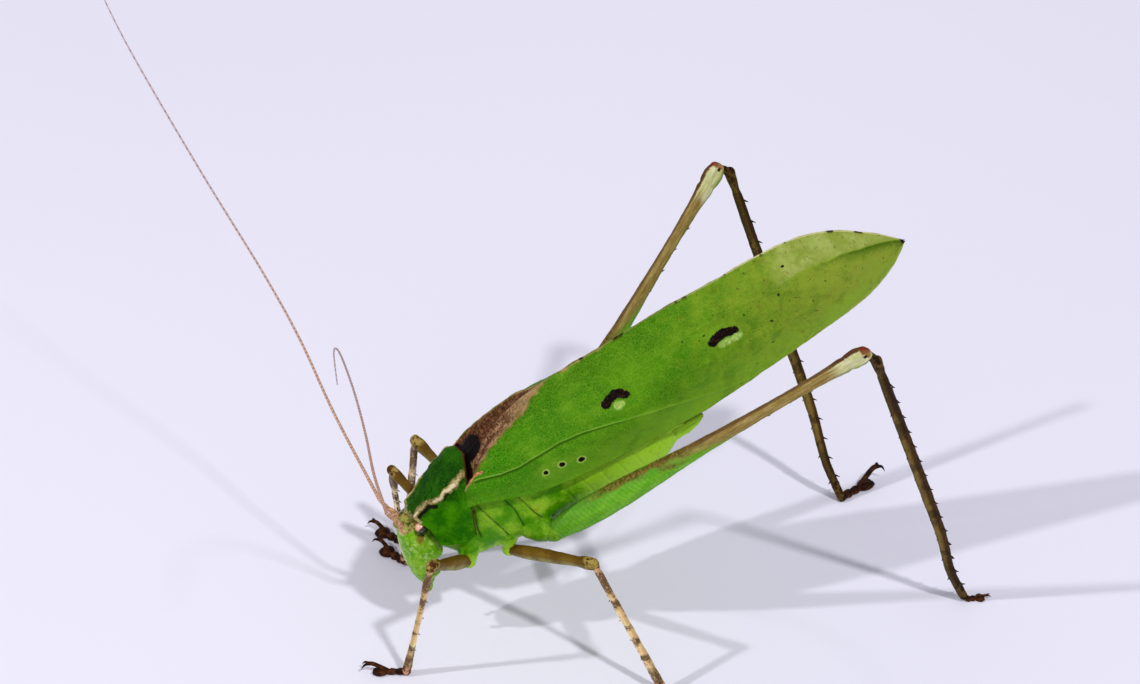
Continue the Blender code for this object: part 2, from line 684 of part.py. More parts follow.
def centre_on_floor(stance):
    """Moves the whole stance so that the middle of its box's underside is the origin."""
    bpy.context.view_layer.update()
    corners = []
    for piece in bpy.data.collections["katydid"].objects:
        if piece.type == "MESH":
            corners += [piece.matrix_world @ vertex.co for vertex in piece.data.vertices]
    low = Vector([min(corner[i] for corner in corners) for i in range(3)])
    high = Vector([max(corner[i] for corner in corners) for i in range(3)])
    stance.location -= Vector(((low.x + high.x) / 2, (low.y + high.y) / 2, low.z))
    bpy.context.view_layer.update()


def build():
    clear_scene()
    for label in ("katydid", "cutters"):
        bpy.context.scene.collection.children.link(bpy.data.collections.new(label))
    stance = bpy.data.objects.new("stance", None)
    trunk = bpy.data.objects.new("trunk", None)
    for frame in (stance, trunk):
        bpy.data.collections["katydid"].objects.link(frame)
    trunk.parent = stance
    trunk.location = (0, 0, TRUNK_HEIGHT)
    trunk.rotation_euler = (TRUNK_PITCH, 0, 0)
    bpy.context.view_layer.update()

    head = add_head(trunk)
    pronotum = add_pronotum(trunk)
    clear_of(head, pronotum)
    for label in ("left", "right"):
        clear_of(bpy.data.objects[f"eye_{label}"], head, pronotum)
    thorax = add_trunk(trunk, head, pronotum)
    for label, side in (("left", 1), ("right", -1)):
        add_wings(trunk, label, side)
    for name, leg in LEGS.items():
        add_leg(stance, trunk, thorax, name, leg)
    for label, antenna in ANTENNAE.items():
        add_antenna(stance, trunk, head, label, antenna)
    centre_on_floor(stance)


build()
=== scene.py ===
"""Looks of the leaf mimicking katydid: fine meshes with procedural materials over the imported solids.

Tables are in millimetres, in the frames that the solids use: the trunk's (its +Y runs to the tail, pitched
head down) or the stance's (from the floor under the fore hips). The animal's left side is +X.
"""

import math

import bmesh
import bpy
import numpy as np
from mathutils import Matrix, Vector
from mathutils.bvhtree import BVHTree


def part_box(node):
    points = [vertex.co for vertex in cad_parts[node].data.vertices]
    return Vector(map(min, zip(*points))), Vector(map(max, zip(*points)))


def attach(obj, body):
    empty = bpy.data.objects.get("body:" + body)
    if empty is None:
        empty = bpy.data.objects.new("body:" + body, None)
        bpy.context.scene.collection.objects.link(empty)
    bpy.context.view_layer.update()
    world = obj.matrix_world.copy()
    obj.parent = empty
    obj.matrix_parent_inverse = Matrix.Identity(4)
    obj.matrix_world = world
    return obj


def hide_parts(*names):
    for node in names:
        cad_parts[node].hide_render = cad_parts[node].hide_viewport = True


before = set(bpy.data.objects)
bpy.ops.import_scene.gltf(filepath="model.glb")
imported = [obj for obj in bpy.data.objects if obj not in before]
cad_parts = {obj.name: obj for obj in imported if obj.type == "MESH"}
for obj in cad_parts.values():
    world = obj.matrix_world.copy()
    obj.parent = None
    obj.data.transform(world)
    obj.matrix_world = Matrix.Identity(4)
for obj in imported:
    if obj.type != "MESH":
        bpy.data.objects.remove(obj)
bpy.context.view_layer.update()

MM = 0.001
SIDES = (("left", 1), ("right", -1))
TRUNK_HEIGHT = 9.98
TRUNK_PITCH = math.radians(27.8)

# Head, level sections: height, front, back, half width.
HEAD = [
    (2.15, -5.60, -3.10, 1.75),
    (3.30, -5.70, -2.40, 2.25),
    (4.80, -5.60, -1.60, 2.62),
    (6.40, -5.25, -1.10, 2.80),
    (8.00, -4.75, -0.90, 2.70),
    (9.30, -4.20, -1.00, 2.35),
    (10.20, -3.65, -1.35, 1.75),
    (10.75, -3.10, -1.90, 0.85),
]
JAWS = [
    (0.50, -5.10, -4.30, 0.55),
    (1.00, -5.40, -3.95, 1.10),
    (1.95, -5.55, -3.35, 1.60),
    (2.60, -5.60, -3.20, 1.70),
]
EYE_CENTRE = (2.10, -1.50, 9.75)
EYE_RADII = (0.60, 0.62, 0.60)
EYE_SHADE = [(-2.15, 9.45), (-1.70, 8.98), (-1.05, 8.85), (-0.50, 9.00), (-0.20, 9.60)]  # y and z
PALP = [(1.20, -4.55, 1.35), (1.40, -5.10, 0.65), (1.15, -5.70, 0.45)]

# Rounded forms joined to the head: centre and radii, on the middle line or on both sides.
FACE_FORMS = [
    ((0.0, -5.50, 2.35), (0.95, 0.30, 0.75), False),  # labrum
    ((0.0, -5.62, 3.25), (1.05, 0.16, 0.45), False),  # clypeus
    ((0.95, -4.75, 1.85), (0.75, 0.75, 1.00), True),  # mandible
    ((0.0, -3.75, 10.20), (0.34, 0.50, 0.55), False),  # tubercle between the antennae
    ((0.9, -3.20, 9.95), (0.50, 0.46, 0.40), True),  # antennal socket
    ((1.95, -1.60, 9.45), (0.55, 0.72, 0.62), True),  # eye socket
    ((1.72, -2.15, 6.25), (1.03, 1.38, 1.95), True),  # cheek
    ((1.30, -3.60, 3.00), (1.00, 1.20, 1.10), True),  # base of the mandible
]

# Pronotum, from the midline down to the lobe's hem: share across, x, y, z at its front and rear edge.
PRONOTUM_FRONT = [
    (0.00, 0.00, -2.25, 11.10),
    (0.30, 2.00, -1.45, 10.85),
    (0.62, 3.00, -0.65, 9.35),
    (1.00, 3.25, -0.75, 7.05),
]
PRONOTUM_REAR = [
    (0.00, 0.00, 7.20, 14.20),
    (0.30, 2.95, 6.30, 13.70),
    (0.62, 3.95, 5.10, 10.40),
    (1.00, 3.95, 3.40, 6.00),
]
LOBE_BULGE = 0.35
LOBE_SAG = 0.30
DISC_CAMBER = 0.32
PRONOTUM_THICKNESS = 0.32
KEEL_HEIGHT = 0.24
KEEL = [(0.0, 0.20), (0.25, 0.255), (0.5, 0.335), (0.75, 0.33), (1.0, 0.315)]  # along, then across

# Trunk sections: y, lowest, widest and highest z, half width.
THORAX = [
    (-0.90, 4.20, 6.40, 8.80, 1.60),
    (0.80, 1.60, 5.50, 9.80, 2.55),
    (3.60, 0.45, 5.10, 11.50, 2.95),
    (6.20, 0.15, 5.10, 12.60, 3.75),
    (9.00, -0.20, 5.10, 12.75, 4.10),
    (12.90, -0.40, 4.80, 12.30, 3.95),
    (14.50, -0.55, 4.60, 11.60, 3.75),
]
ABDOMEN = [
    (11.50, -0.20, 4.80, 11.90, 3.55),
    (13.15, -0.40, 4.70, 11.80, 3.75),
    (16.50, -0.90, 4.20, 10.80, 3.85),
    (20.50, -1.10, 3.50, 9.60, 3.75),
    (24.50, -1.60, 2.30, 7.40, 3.20),
    (26.60, -1.50, 1.40, 5.00, 2.40),
    (28.20, -0.90, 0.70, 2.80, 1.20),
]
OVIPOSITOR = [
    (27.00, -0.90, -0.10, 0.70, 0.50),
    (28.00, -1.10, -0.20, 0.75, 0.50),
    (29.40, -1.25, -0.40, 0.50, 0.36),
    (31.00, -1.00, -0.35, 0.30, 0.28),
    (32.20, -0.30, -0.05, 0.20, 0.18),
]
CERCUS = [(1.15, 27.00, 1.90), (1.60, 28.80, 1.95), (1.50, 29.70, 1.70)]
ABDOMEN_JOINTS = (14.6, 16.9, 19.1, 21.2, 23.2, 25.0, 26.5)

# Seams of the flank, as y and z down the trunk's side.
FLANK_SEAMS = [
    [(4.9, 10.4), (5.5, 7.6), (6.1, 4.2), (6.2, 3.0)],
    [(4.6, 8.4), (3.8, 6.2), (3.4, 4.4)],
    [(9.7, 8.2), (10.0, 6.0), (10.2, 4.3), (10.6, 2.5)],
    [(8.0, 9.6), (8.6, 6.4), (8.3, 3.2)],
]

CHEEK_SEAM = [(-2.2, 8.9), (-3.1, 6.5), (-3.7, 4.4), (-3.9, 3.2)]
JAW_SEAM = [(-3.9, 3.2), (-3.3, 2.6), (-2.7, 2.5)]

# Left wing cover: y, how far its hem starts behind its crown, crown z, then x and z of shoulder,
# belly and hem.
TEGMEN = [
    (5.2, -1.6, 12.40, 2.30, 11.90, 3.00, 10.90, 3.30, 9.60),
    (7.5, -1.6, 13.60, 3.00, 13.15, 4.45, 12.00, 4.85, 10.40),
    (10.0, -0.7, 14.70, 3.05, 14.40, 5.10, 11.90, 5.40, 9.00),
    (13.0, -0.1, 15.65, 2.85, 15.30, 5.70, 11.80, 5.80, 7.90),
    (16.5, 0.0, 16.40, 2.40, 15.60, 5.90, 11.50, 5.85, 7.00),
    (20.5, 0.0, 16.60, 2.20, 14.90, 5.80, 11.00, 5.60, 6.15),
    (27.0, 0.0, 16.40, 2.30, 14.30, 5.35, 10.30, 4.90, 4.95),
    (34.0, 0.0, 16.35, 2.40, 14.10, 4.65, 9.90, 4.00, 3.70),
    (41.0, 0.0, 15.85, 2.40, 13.40, 3.85, 9.20, 3.00, 3.20),
    (47.0, 0.0, 15.55, 2.35, 12.20, 3.20, 8.30, 2.50, 3.15),
    (52.0, 0.0, 14.65, 2.10, 10.90, 2.70, 7.20, 2.05, 3.20),
    (56.0, 0.0, 12.55, 1.60, 9.60, 2.05, 6.40, 1.55, 3.45),
    (59.5, 0.0, 9.30, 0.80, 7.80, 1.00, 5.90, 0.75, 4.40),
    (62.2, 0.0, 6.15, 0.12, 6.10, 0.14, 6.02, 0.12, 5.90),
]
TEGMEN_ACROSS = (0.0, 0.28, 0.62, 1.0)
TEGMEN_EDGE = 0.05  # how far the two covers' crowns stay from the midline
OVERLAP = 0.62  # how far the right cover's dorsal field lies below the left one's
TEGMEN_INNER_EDGE = 0.03  # how far their inner faces stay from it
TEGMEN_INSIDE = (-2.0, 25.0, 8.0)  # a place that the left cover faces away from
TEGMEN_ROWS = 430
TEGMEN_COLUMNS = 125
LEAF_FRONT = 7.5  # y where a cover comes out from under the pronotum
LEAF_LENGTH = 54.7
FOLD_START = 47  # y behind which the sector vein is a fold
POINT_START = 61.2  # y behind which a cover draws together to its point

# Marks of the wing cover, as y and share across; round ones also have a radius in millimetres.
RADIUS_VEIN = [(7.6, 0.42), (8.2, 0.45), (10.2, 0.55), (12.2, 0.57), (14.7, 0.56), (17.5, 0.55),
               (20.0, 0.56), (23.2, 0.61), (26.5, 0.68), (29.7, 0.76), (33.2, 0.85), (36.5, 0.93),
               (40.0, 0.99)]
MEDIAN_VEIN = [(12.0, 0.50), (16.0, 0.47), (20.0, 0.49), (24.5, 0.58), (29.0, 0.58), (34.0, 0.60),
               (39.0, 0.63), (45.0, 0.66), (51.0, 0.68), (57.0, 0.72)]
SECTOR_VEIN = [(16.0, 0.47), (20.0, 0.42), (25.0, 0.38), (30.0, 0.36), (36.0, 0.33), (42.0, 0.31),
               (47.2, 0.32), (50.0, 0.26), (53.5, 0.25), (57.2, 0.25), (61.5, 0.15)]
CREASE = [(7.5, 0.38), (8.2, 0.35), (10.5, 0.27), (13.0, 0.26), (15.7, 0.25), (17.5, 0.11),
          (19.9, 0.0)]
ORANGE_SHOULDER = [(7.1, 0.38), (7.6, 0.36), (8.1, 0.365), (8.6, 0.39)]
ROUND_SPOTS = [(14.2, 0.76, 0.30), (16.2, 0.75, 0.37), (18.3, 0.80, 0.40)]
BLOTCHES = [(23.9, 0.47, 0.55), (24.6, 0.45, 0.52), (25.3, 0.435, 0.50), (25.9, 0.45, 0.58),
            (26.4, 0.48, 0.44), (37.6, 0.49, 0.50), (38.1, 0.475, 0.52), (38.7, 0.462, 0.56),
            (39.3, 0.462, 0.52), (39.9, 0.472, 0.52), (40.5, 0.485, 0.46)]
PALE_PATCHES = [(25.0, 0.52, 0.55), (25.5, 0.52, 0.4), (38.4, 0.545, 0.42), (39.2, 0.545, 0.48),
                (40.0, 0.545, 0.48), (40.7, 0.54, 0.40)]
SPECKS = [(37.2, 0.40, 0.14), (36.5, 0.42, 0.11), (48.7, 0.15, 0.17), (46.7, 0.36, 0.20),
          (44.5, 0.58, 0.15), (42.2, 0.40, 0.08), (34.8, 0.36, 0.09), (52.0, 0.42, 0.1)]

# Folded hind wing: y, lowest, widest and highest z, half thickness.
HIND_WING = [
    (15.0, 12.3, 13.2, 14.1, 0.30),
    (20.0, 11.2, 13.0, 14.8, 0.42),
    (34.0, 8.6, 11.6, 14.2, 0.48),
    (46.0, 7.6, 10.2, 12.8, 0.40),
    (53.0, 7.8, 8.8, 10.2, 0.30),
]
HIND_WING_CENTRE = 0.75

LEGS = {
    "fore_left": dict(
        root=(1.75, 1.9, 4.2), hip=(2.0, -0.28, 11.58), knee=(9.4, -6.53, 18.1),
        ankle=(6.1, -9.1, 0.55), heading=-110, foot=0.9, lift=1.0,
    ),
    "mid_left": dict(
        root=(2.4, 6.6, 3.4), hip=(2.3, 4.39, 12.45), knee=(13.41, 11.19, 17.32),
        ankle=(17.78, 18.17, 0.55), heading=53, foot=0.95, lift=1.0,
    ),
    "hind_left": dict(
        root=(2.9, 8.8, 1.9), hip=(4.3, 9.37, 15.5), knee=(19.25, 39.61, 44.25),
        shin=(19.14, 41.0, 42.92), ankle=(12.85, 57.75, 0.8), heading=83, foot=0.56, lift=0.3, girth=1.5,
    ),
    "fore_right": dict(
        root=(-1.75, 1.9, 4.2), hip=(-2.0, -0.28, 11.2), knee=(-10.62, -6.1, 16.79),
        ankle=(-17.14, -3.76, 0.55), heading=-144, foot=0.9, lift=1.0, girth=1.35,
    ),
    "mid_right": dict(
        root=(-2.4, 6.6, 3.4), hip=(-2.3, 4.39, 12.45), knee=(-12.08, -2.81, 19.4),
        ankle=(-13.31, -4.36, 0.55), heading=-149, foot=0.9, lift=1.0, girth=1.35,
    ),
    "hind_right": dict(
        root=(-2.9, 8.8, 1.9), hip=(-4.6, 8.75, 15.9), knee=(-16.6, 35.4, 47.2),
        shin=(-16.8, 37.0, 46.3), ankle=(-9.45, 50.95, 0.55), heading=114, foot=1.2, lift=1.35,
    ),
}
# Limb profiles: share of the length, half thickness and half depth.
COXA = {
    "fore": [(0.0, 1.15, 1.15), (0.6, 1.20, 1.25), (0.88, 0.92, 1.00), (1.0, 0.82, 0.90)],
    "mid": [(0.0, 1.15, 1.15), (0.6, 1.05, 1.05), (0.86, 0.72, 0.76), (1.0, 0.76, 0.82)],
    "hind": [(0.0, 1.45, 1.55), (0.6, 1.45, 1.60), (0.86, 1.15, 1.40), (1.0, 1.10, 1.35)],
}
FEMUR = {
    "fore": [(0.0, 0.66, 0.74), (0.08, 0.64, 0.74), (0.2, 0.72, 0.88), (0.6, 0.64, 0.78),
             (0.82, 0.56, 0.66), (0.93, 0.64, 0.86), (1.0, 0.58, 0.76)],
    "mid": [(0.0, 0.64, 0.72), (0.08, 0.62, 0.72), (0.2, 0.70, 0.84), (0.6, 0.64, 0.78),
            (0.82, 0.56, 0.66), (0.94, 0.64, 0.86), (1.0, 0.58, 0.76)],
    "hind": [(0.0, 0.95, 1.35), (0.07, 1.25, 1.78), (0.2, 1.35, 1.86), (0.33, 1.10, 1.52),
             (0.46, 0.85, 1.08), (0.62, 0.66, 0.82), (0.82, 0.58, 0.76), (0.90, 0.63, 0.92),
             (0.965, 0.74, 1.26), (0.985, 0.74, 1.26), (1.0, 0.64, 1.02)],
}
TIBIA = {
    "fore": [(0.0, 0.44, 0.52), (0.07, 0.38, 0.44), (0.15, 0.48, 0.56), (0.26, 0.38, 0.44),
             (0.5, 0.34, 0.39), (0.74, 0.36, 0.42), (0.9, 0.46, 0.52), (1.0, 0.50, 0.54)],
    "mid": [(0.0, 0.46, 0.54), (0.10, 0.40, 0.46), (0.3, 0.41, 0.48), (0.6, 0.43, 0.50),
            (0.88, 0.50, 0.57), (1.0, 0.52, 0.57)],
    "hind": [(0.0, 0.56, 0.66), (0.04, 0.48, 0.56), (0.12, 0.49, 0.59), (0.3, 0.51, 0.63),
             (0.55, 0.54, 0.67), (0.75, 0.50, 0.61), (0.94, 0.47, 0.53), (1.0, 0.50, 0.52)],
}
# Rows of paired spines on a tibia: count, share where they start and share they cover, stagger of the
# two sides, x and y of the base, direction, length and radius.
HIND_SPINES = [
    (15, 0.10, 0.84, 0.25, (0.24, 0.36), (0.40, 0.75, 0.55), 0.66, 0.13),
    (9, 0.22, 0.70, 0.25, (0.22, -0.36), (0.35, -0.7, 0.6), 0.46, 0.10),
]
SLIM_SPINES = [(5, 0.30, 0.62, 0.2, (0.20, -0.28), (0.4, -0.7, 0.6), 0.40, 0.07)]
# Foot sections: x, height of the middle (None is the ankle's), half width and half height.
TARSUS = [
    (0.0, None, 0.46, 0.46),
    (0.55, 0.52, 0.40, 0.46),
    (1.0, 0.46, 0.47, 0.46),
    (1.2, 0.44, 0.34, 0.40),
    (1.7, 0.42, 0.42, 0.44),
    (2.05, 0.40, 0.48, 0.42),
    (2.25, 0.38, 0.34, 0.36),
    (2.9, 0.38, 0.70, 0.42),
    (3.5, 0.36, 0.84, 0.40),
    (4.1, 0.30, 0.66, 0.30),
]
CLAW_STALK = [(2.4, 0.0, 0.55), (3.4, 0.0, 1.15), (4.3, 0.0, 1.60), (5.0, 0.0, 1.62)]
CLAW = [(4.7, 0.0, 1.60), (5.35, 0.32, 1.58), (5.78, 0.50, 1.02)]

ANTENNAE = {
    "left": dict(
        base=(0.9, -3.3, 10.3), scape=(0.08, -0.14, 0.99),
        bends=[(2.1, -10.9, 26.5), (4.5, -12.1, 33.9), (6.8, -13.4, 40.7), (9.8, -14.9, 47.0),
               (14.0, -16.5, 52.6), (19.8, -18.1, 56.6), (26.7, -19.3, 57.7)],
    ),
    "right": dict(
        base=(-0.9, -3.3, 10.3), scape=(-0.25, -0.2, 0.95),
        bends=[(-7.2, -13.1, 28.7), (-12.1, -15.6, 36.3), (-16.7, -18.5, 43.1), (-23.7, -23.5, 53.3),
               (-31.8, -28.9, 65.1), (-36.5, -31.6, 72.5)],
    ),
}
SCAPE_LENGTH = 3.0
# Radii down the scape with its pedicel, and down the thread: share of the length, radius.
SCAPE_RADII = [(-0.15, 0.30), (0.0, 0.36), (0.42, 0.33), (0.50, 0.22), (0.56, 0.19), (0.66, 0.24),
               (0.88, 0.22), (0.97, 0.20)]
THREAD_RADII = [(0.0, 0.225), (0.08, 0.185), (0.4, 0.135), (0.8, 0.10), (1.0, 0.065)]
HIND_TIBIA_BOW = 0.55

# How far a rounded end has turned inwards at each of its rings, in degrees.
TUBE_TURNS = (85, 65, 45, 22)
LIMB_TURNS = (84, 68, 50, 32, 14)
FOOT_TURNS = (80, 60, 38, 18)

HEAD_POWER = 2.3  # above 2, a section is squarer than an ellipse
TRUNK_POWER = 2.2
SKIN_VOXEL = 0.11
SKIN_GROWTH = 0.03  # gives back what the smoothing takes
SHELL_DEPTH = 0.42  # how far the skin stays below the pronotum's face

# The camera, its target and lens, from the stance frame, in millimetres.
CAMERA_PLACE = (243.91, -62.09, 216.96)
CAMERA_TARGET = (-52.39, 28.5, 0.0)
CAMERA_LENS = 88.42
CAMERA_SENSOR = 36.0

# Lamps: direction they shine from, distance, size in metres, and power in watts.
LAMPS = {
    "key_light": ((0.57, 0.15, 0.81), 1.5, 0.08, 9.3),
    "head_light": ((0.02, -0.73, 0.69), 1.5, 0.05, 7.5),
    "front_fill": ((1.0, -0.3, 0.9), 1.6, 1.0, 1.8),
}
LIT_PLACE = (0, 18, 14)
SKY_COLOUR = (0.93, 0.92, 1.0, 1.0)
SKY_STRENGTH = 0.445
FLOOR_TONES = ((0.80, 0.785, 0.90), (0.84, 0.825, 0.93))
FLOOR_REACH = 1.5  # metres each way from the middle


# ---------------------------------------------------------------- curves and places


def hermite(keys, values, t):
    """Smooth curves through values (one row a key), read at every t."""
    keys, values, t = (np.asarray(data, float) for data in (keys, values, t))
    slopes = np.gradient(values, keys, axis=0)
    i = np.clip(np.searchsorted(keys, t) - 1, 0, len(keys) - 2)
    more = (1,) * (values.ndim - 1)
    span = (keys[i + 1] - keys[i]).reshape(t.shape + more)
    s = (t - keys[i]).reshape(t.shape + more) / span
    start, end = values[i], values[i + 1]
    return (
        start + (end - start) * s * s * (3 - 2 * s)
        + slopes[i] * s * (1 - s) ** 2 * span
        + slopes[i + 1] * s * s * (s - 1) * span
    )


def read_rows(rows, t):
    """The other columns of the rows at every t; the first column rises."""
    table = np.array(rows, float)
    return hermite(table[:, 0], table[:, 1:], t)


def smooth_path(points, count):
    """A smooth path of count points through a few."""
    points = np.array(points, float)
    return hermite(np.arange(len(points)), points, np.linspace(0, len(points) - 1, count))


def line_distance(points, line):
    """Distance of each 2-D point from a polyline."""
    line = np.array(line, float)
    best = np.full(len(points), np.inf)
    for a, b in zip(line[:-1], line[1:]):
        span = b - a
        s = np.clip(((points - a) @ span) / max(span @ span, 1e-12), 0, 1)
        best = np.minimum(best, np.hypot(*(points - a - s[:, None] * span).T))
    return best


def wobble(points, size, seed, waves=7):
    """Smooth irregular values of about -1 to 1 over points, the same on each run."""
    draw = np.random.default_rng(seed)
    total = np.zeros(points.shape[:-1])
    for _ in range(waves):
        direction = draw.normal(size=3)
        direction *= (0.7 + 0.9 * draw.random()) * 2 * math.pi / (size * np.linalg.norm(direction))
        total += np.sin(points @ direction + draw.random() * 2 * math.pi)
    return total / math.sqrt(waves * 1.5)


def bell(distance, width):
    """1 where distance is 0, falling off smoothly on both sides."""
    return np.exp(-((distance / width) ** 2))


def ramp(value, start, end):
    """0 at start, 1 at end, straight between them and level beyond; start may be the greater."""
    return np.clip((value - start) / (end - start), 0, 1)


def triples(x, y, z):
    """Points from arrays of x, y and z that broadcast together."""
    return np.stack(np.broadcast_arrays(x, y, z), -1)


def stance_place():
    """Where the stance frame lies in the row frame, from the boxes of the wings."""
    middle = (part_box("tegmen_left")[0].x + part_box("tegmen_right")[1].x) / 2
    y, _, wide, high, _ = HIND_WING[0]
    top = wide + (high - wide) * math.cos(math.pi / 8)  # the foremost section is an octagon
    front = y * math.cos(TRUNK_PITCH) - top * math.sin(TRUNK_PITCH)
    return Vector((middle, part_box("hind_wing_left")[0].y - front * MM, 0.0))


STANCE = Matrix.Translation(stance_place()) @ Matrix.Scale(MM, 4)
TRUNK = STANCE @ Matrix.Translation((0, 0, TRUNK_HEIGHT)) @ Matrix.Rotation(TRUNK_PITCH, 4, "X")
TO_STANCE = STANCE.inverted() @ TRUNK
TO_TRUNK = TO_STANCE.inverted()


def moved(points, matrix):
    """Points taken through a matrix."""
    rows = np.array(matrix)
    return points @ rows[:3, :3].T + rows[:3, 3]


# ---------------------------------------------------------------- meshes


class Form:
    """Gathers grids of points into one mesh, with named values at the points."""

    def __init__(self):
        self.points, self.faces, self.values, self.count = [], [], {}, 0

    def grid(self, grid, tube=False, flip=False, **values):
        """A sheet, or a tube with closed ends, through rows of points."""
        rows, across = grid.shape[:2]
        index = self.count + np.arange(rows * across).reshape(rows, across)
        ahead = np.roll(index, -1, axis=1) if tube else index[:, 1:]
        here = index if tube else index[:, :-1]
        quads = np.stack([here[:-1], ahead[:-1], ahead[1:], here[1:]], -1).reshape(-1, 4)
        ends = [index[0, ::-1], index[-1]] if tube else []
        self.faces += (quads[:, ::-1] if flip else quads).tolist()
        self.faces += [(end[::-1] if flip else end).tolist() for end in ends]
        self.points.append(grid.reshape(-1, 3))
        self.count += rows * across
        for name in {**self.values, **values}:
            given = np.asarray(values.get(name, 0.0), float)
            flat = np.broadcast_to(given, (rows, across) + given.shape[2:])
            self.values.setdefault(name, []).append(flat.reshape(rows * across, -1))
        return index

    def tube(self, path, radii, sides, up=(0.0, 0.0, 1.0), **values):
        """A round tube; one with values also carries its points' places."""
        rings = tube_rings(path, radii, sides, up)
        if values:
            values["place"] = rings
        self.grid(rings, tube=True, **values)

    def shell(self, outer, inner, flip=False, **values):
        """A closed sheet: an outer grid, an inner one below it, and a rim between them."""
        rims = []
        for grid, turned in ((outer, flip), (inner, not flip)):
            index = self.grid(grid, flip=turned, **values)
            rims.append(np.concatenate([index[0, :-1], index[:-1, -1], index[-1, :0:-1], index[:0:-1, 0]]))
        top, below = rims
        quads = np.stack([top, below, np.roll(below, -1), np.roll(top, -1)], -1)
        self.faces += (quads[:, ::-1] if flip else quads).tolist()

    def mesh(self, name, matrix=None):
        points = np.concatenate(self.points)
        mesh = bpy.data.meshes.new(name)
        mesh.from_pydata((moved(points, matrix) if matrix else points).tolist(), [], self.faces)
        for label, parts in self.values.items():
            write_values(mesh, label, np.concatenate(parts))
        mesh.shade_smooth()
        return mesh

    def piece(self, name, matrix, paint, slot, *nodes):
        add_piece(name, self.mesh(name, matrix), paint, slot, *nodes)


def write_values(mesh, label, values):
    """Stores one named value for each point of a mesh."""
    values = np.asarray(values, np.float32).reshape(len(mesh.vertices), -1)
    kind, field = ("FLOAT_VECTOR", "vector") if values.shape[1] == 3 else ("FLOAT", "value")
    mesh.attributes.new(label, kind, "POINT").data.foreach_set(field, values.ravel())


def read_vectors(items, field):
    """The places or normals of a mesh, as rows."""
    rows = np.empty(len(items) * 3, np.float32)
    items.foreach_get(field, rows)
    return rows.reshape(-1, 3).astype(float)


def add_object(name, data):
    thing = bpy.data.objects.new(name, data)
    bpy.context.scene.collection.objects.link(thing)
    return thing


def add_piece(name, mesh, paint, slot, *nodes):
    """Adds a finished mesh with its material, in its nodes' place."""
    piece = add_object(name, mesh)
    mesh.materials.append(paint)
    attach(piece, "root")
    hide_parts(*nodes)


def grid_normals(grid):
    """The direction that each point of a grid faces."""
    normals = np.cross(np.gradient(grid, axis=1), np.gradient(grid, axis=0))
    return normals / np.maximum(np.linalg.norm(normals, axis=2, keepdims=True), 1e-9)


def oval_ring(half_width, up, down, sides, power=2.0):
    """Offsets across and up of oval sections, for arrays of sizes."""
    angle = 2 * math.pi * (np.arange(sides) + 0.5) / sides
    c, s = np.cos(angle), np.sin(angle)
    half_width, up, down = (np.reshape(size, (-1, 1)) for size in (half_width, up, down))
    across = half_width * np.sign(c) * np.abs(c) ** (2 / power)
    return across, np.where(s > 0, up, down) * np.sign(s) * np.abs(s) ** (2 / power)


def tube_rings(path, radii, sides, up):
    """Rings of points round a path."""
    along = np.gradient(path, axis=0)
    along /= np.linalg.norm(along, axis=1, keepdims=True)
    across = np.cross(along, np.array(up))
    across /= np.maximum(np.linalg.norm(across, axis=1, keepdims=True), 1e-9)
    rise = np.cross(across, along)
    angle = 2 * math.pi * np.arange(sides) / sides
    c, s = np.cos(angle)[None, :, None], np.sin(angle)[None, :, None]
    return path[:, None] + np.asarray(radii)[:, None, None] * (across[:, None] * c + rise[:, None] * s)


def round_ends(places, sizes, turns, reach_first, reach_last):
    """Places along a limb and the sizes there, with domed ends added."""
    turns = np.radians(turns)
    back = turns[::-1]
    places = np.concatenate([places[0] - reach_first * np.sin(turns), places,
                             places[-1] + reach_last * np.sin(back)])
    sizes = np.concatenate([sizes[0] * np.cos(turns)[:, None], sizes, sizes[-1] * np.cos(back)[:, None]])
    return places, sizes


def rounded(path, radii):
    """A path and its radii with rounded ends added."""
    path, radii = np.asarray(path, float), np.asarray(radii, float)
    first = (path[0] - path[1]) / np.linalg.norm(path[0] - path[1])
    last = (path[-1] - path[-2]) / np.linalg.norm(path[-1] - path[-2])
    turns = np.radians(TUBE_TURNS)
    start = path[0] + first * radii[0] * np.sin(turns)[:, None]
    end = path[-1] + last * radii[-1] * np.sin(turns[::-1])[:, None]
    sizes = np.concatenate([radii[0] * np.cos(turns), radii, radii[-1] * np.cos(turns[::-1])])
    return np.concatenate([start, path, end]), sizes


# ---------------------------------------------------------------- materials


def srgb(red, green, blue):
    """Linear colour of 0-255 display values."""
    return tuple(((c / 255 + 0.055) / 1.055) ** 2.4 if c > 10 else c / 255 / 12.92
                 for c in (red, green, blue))


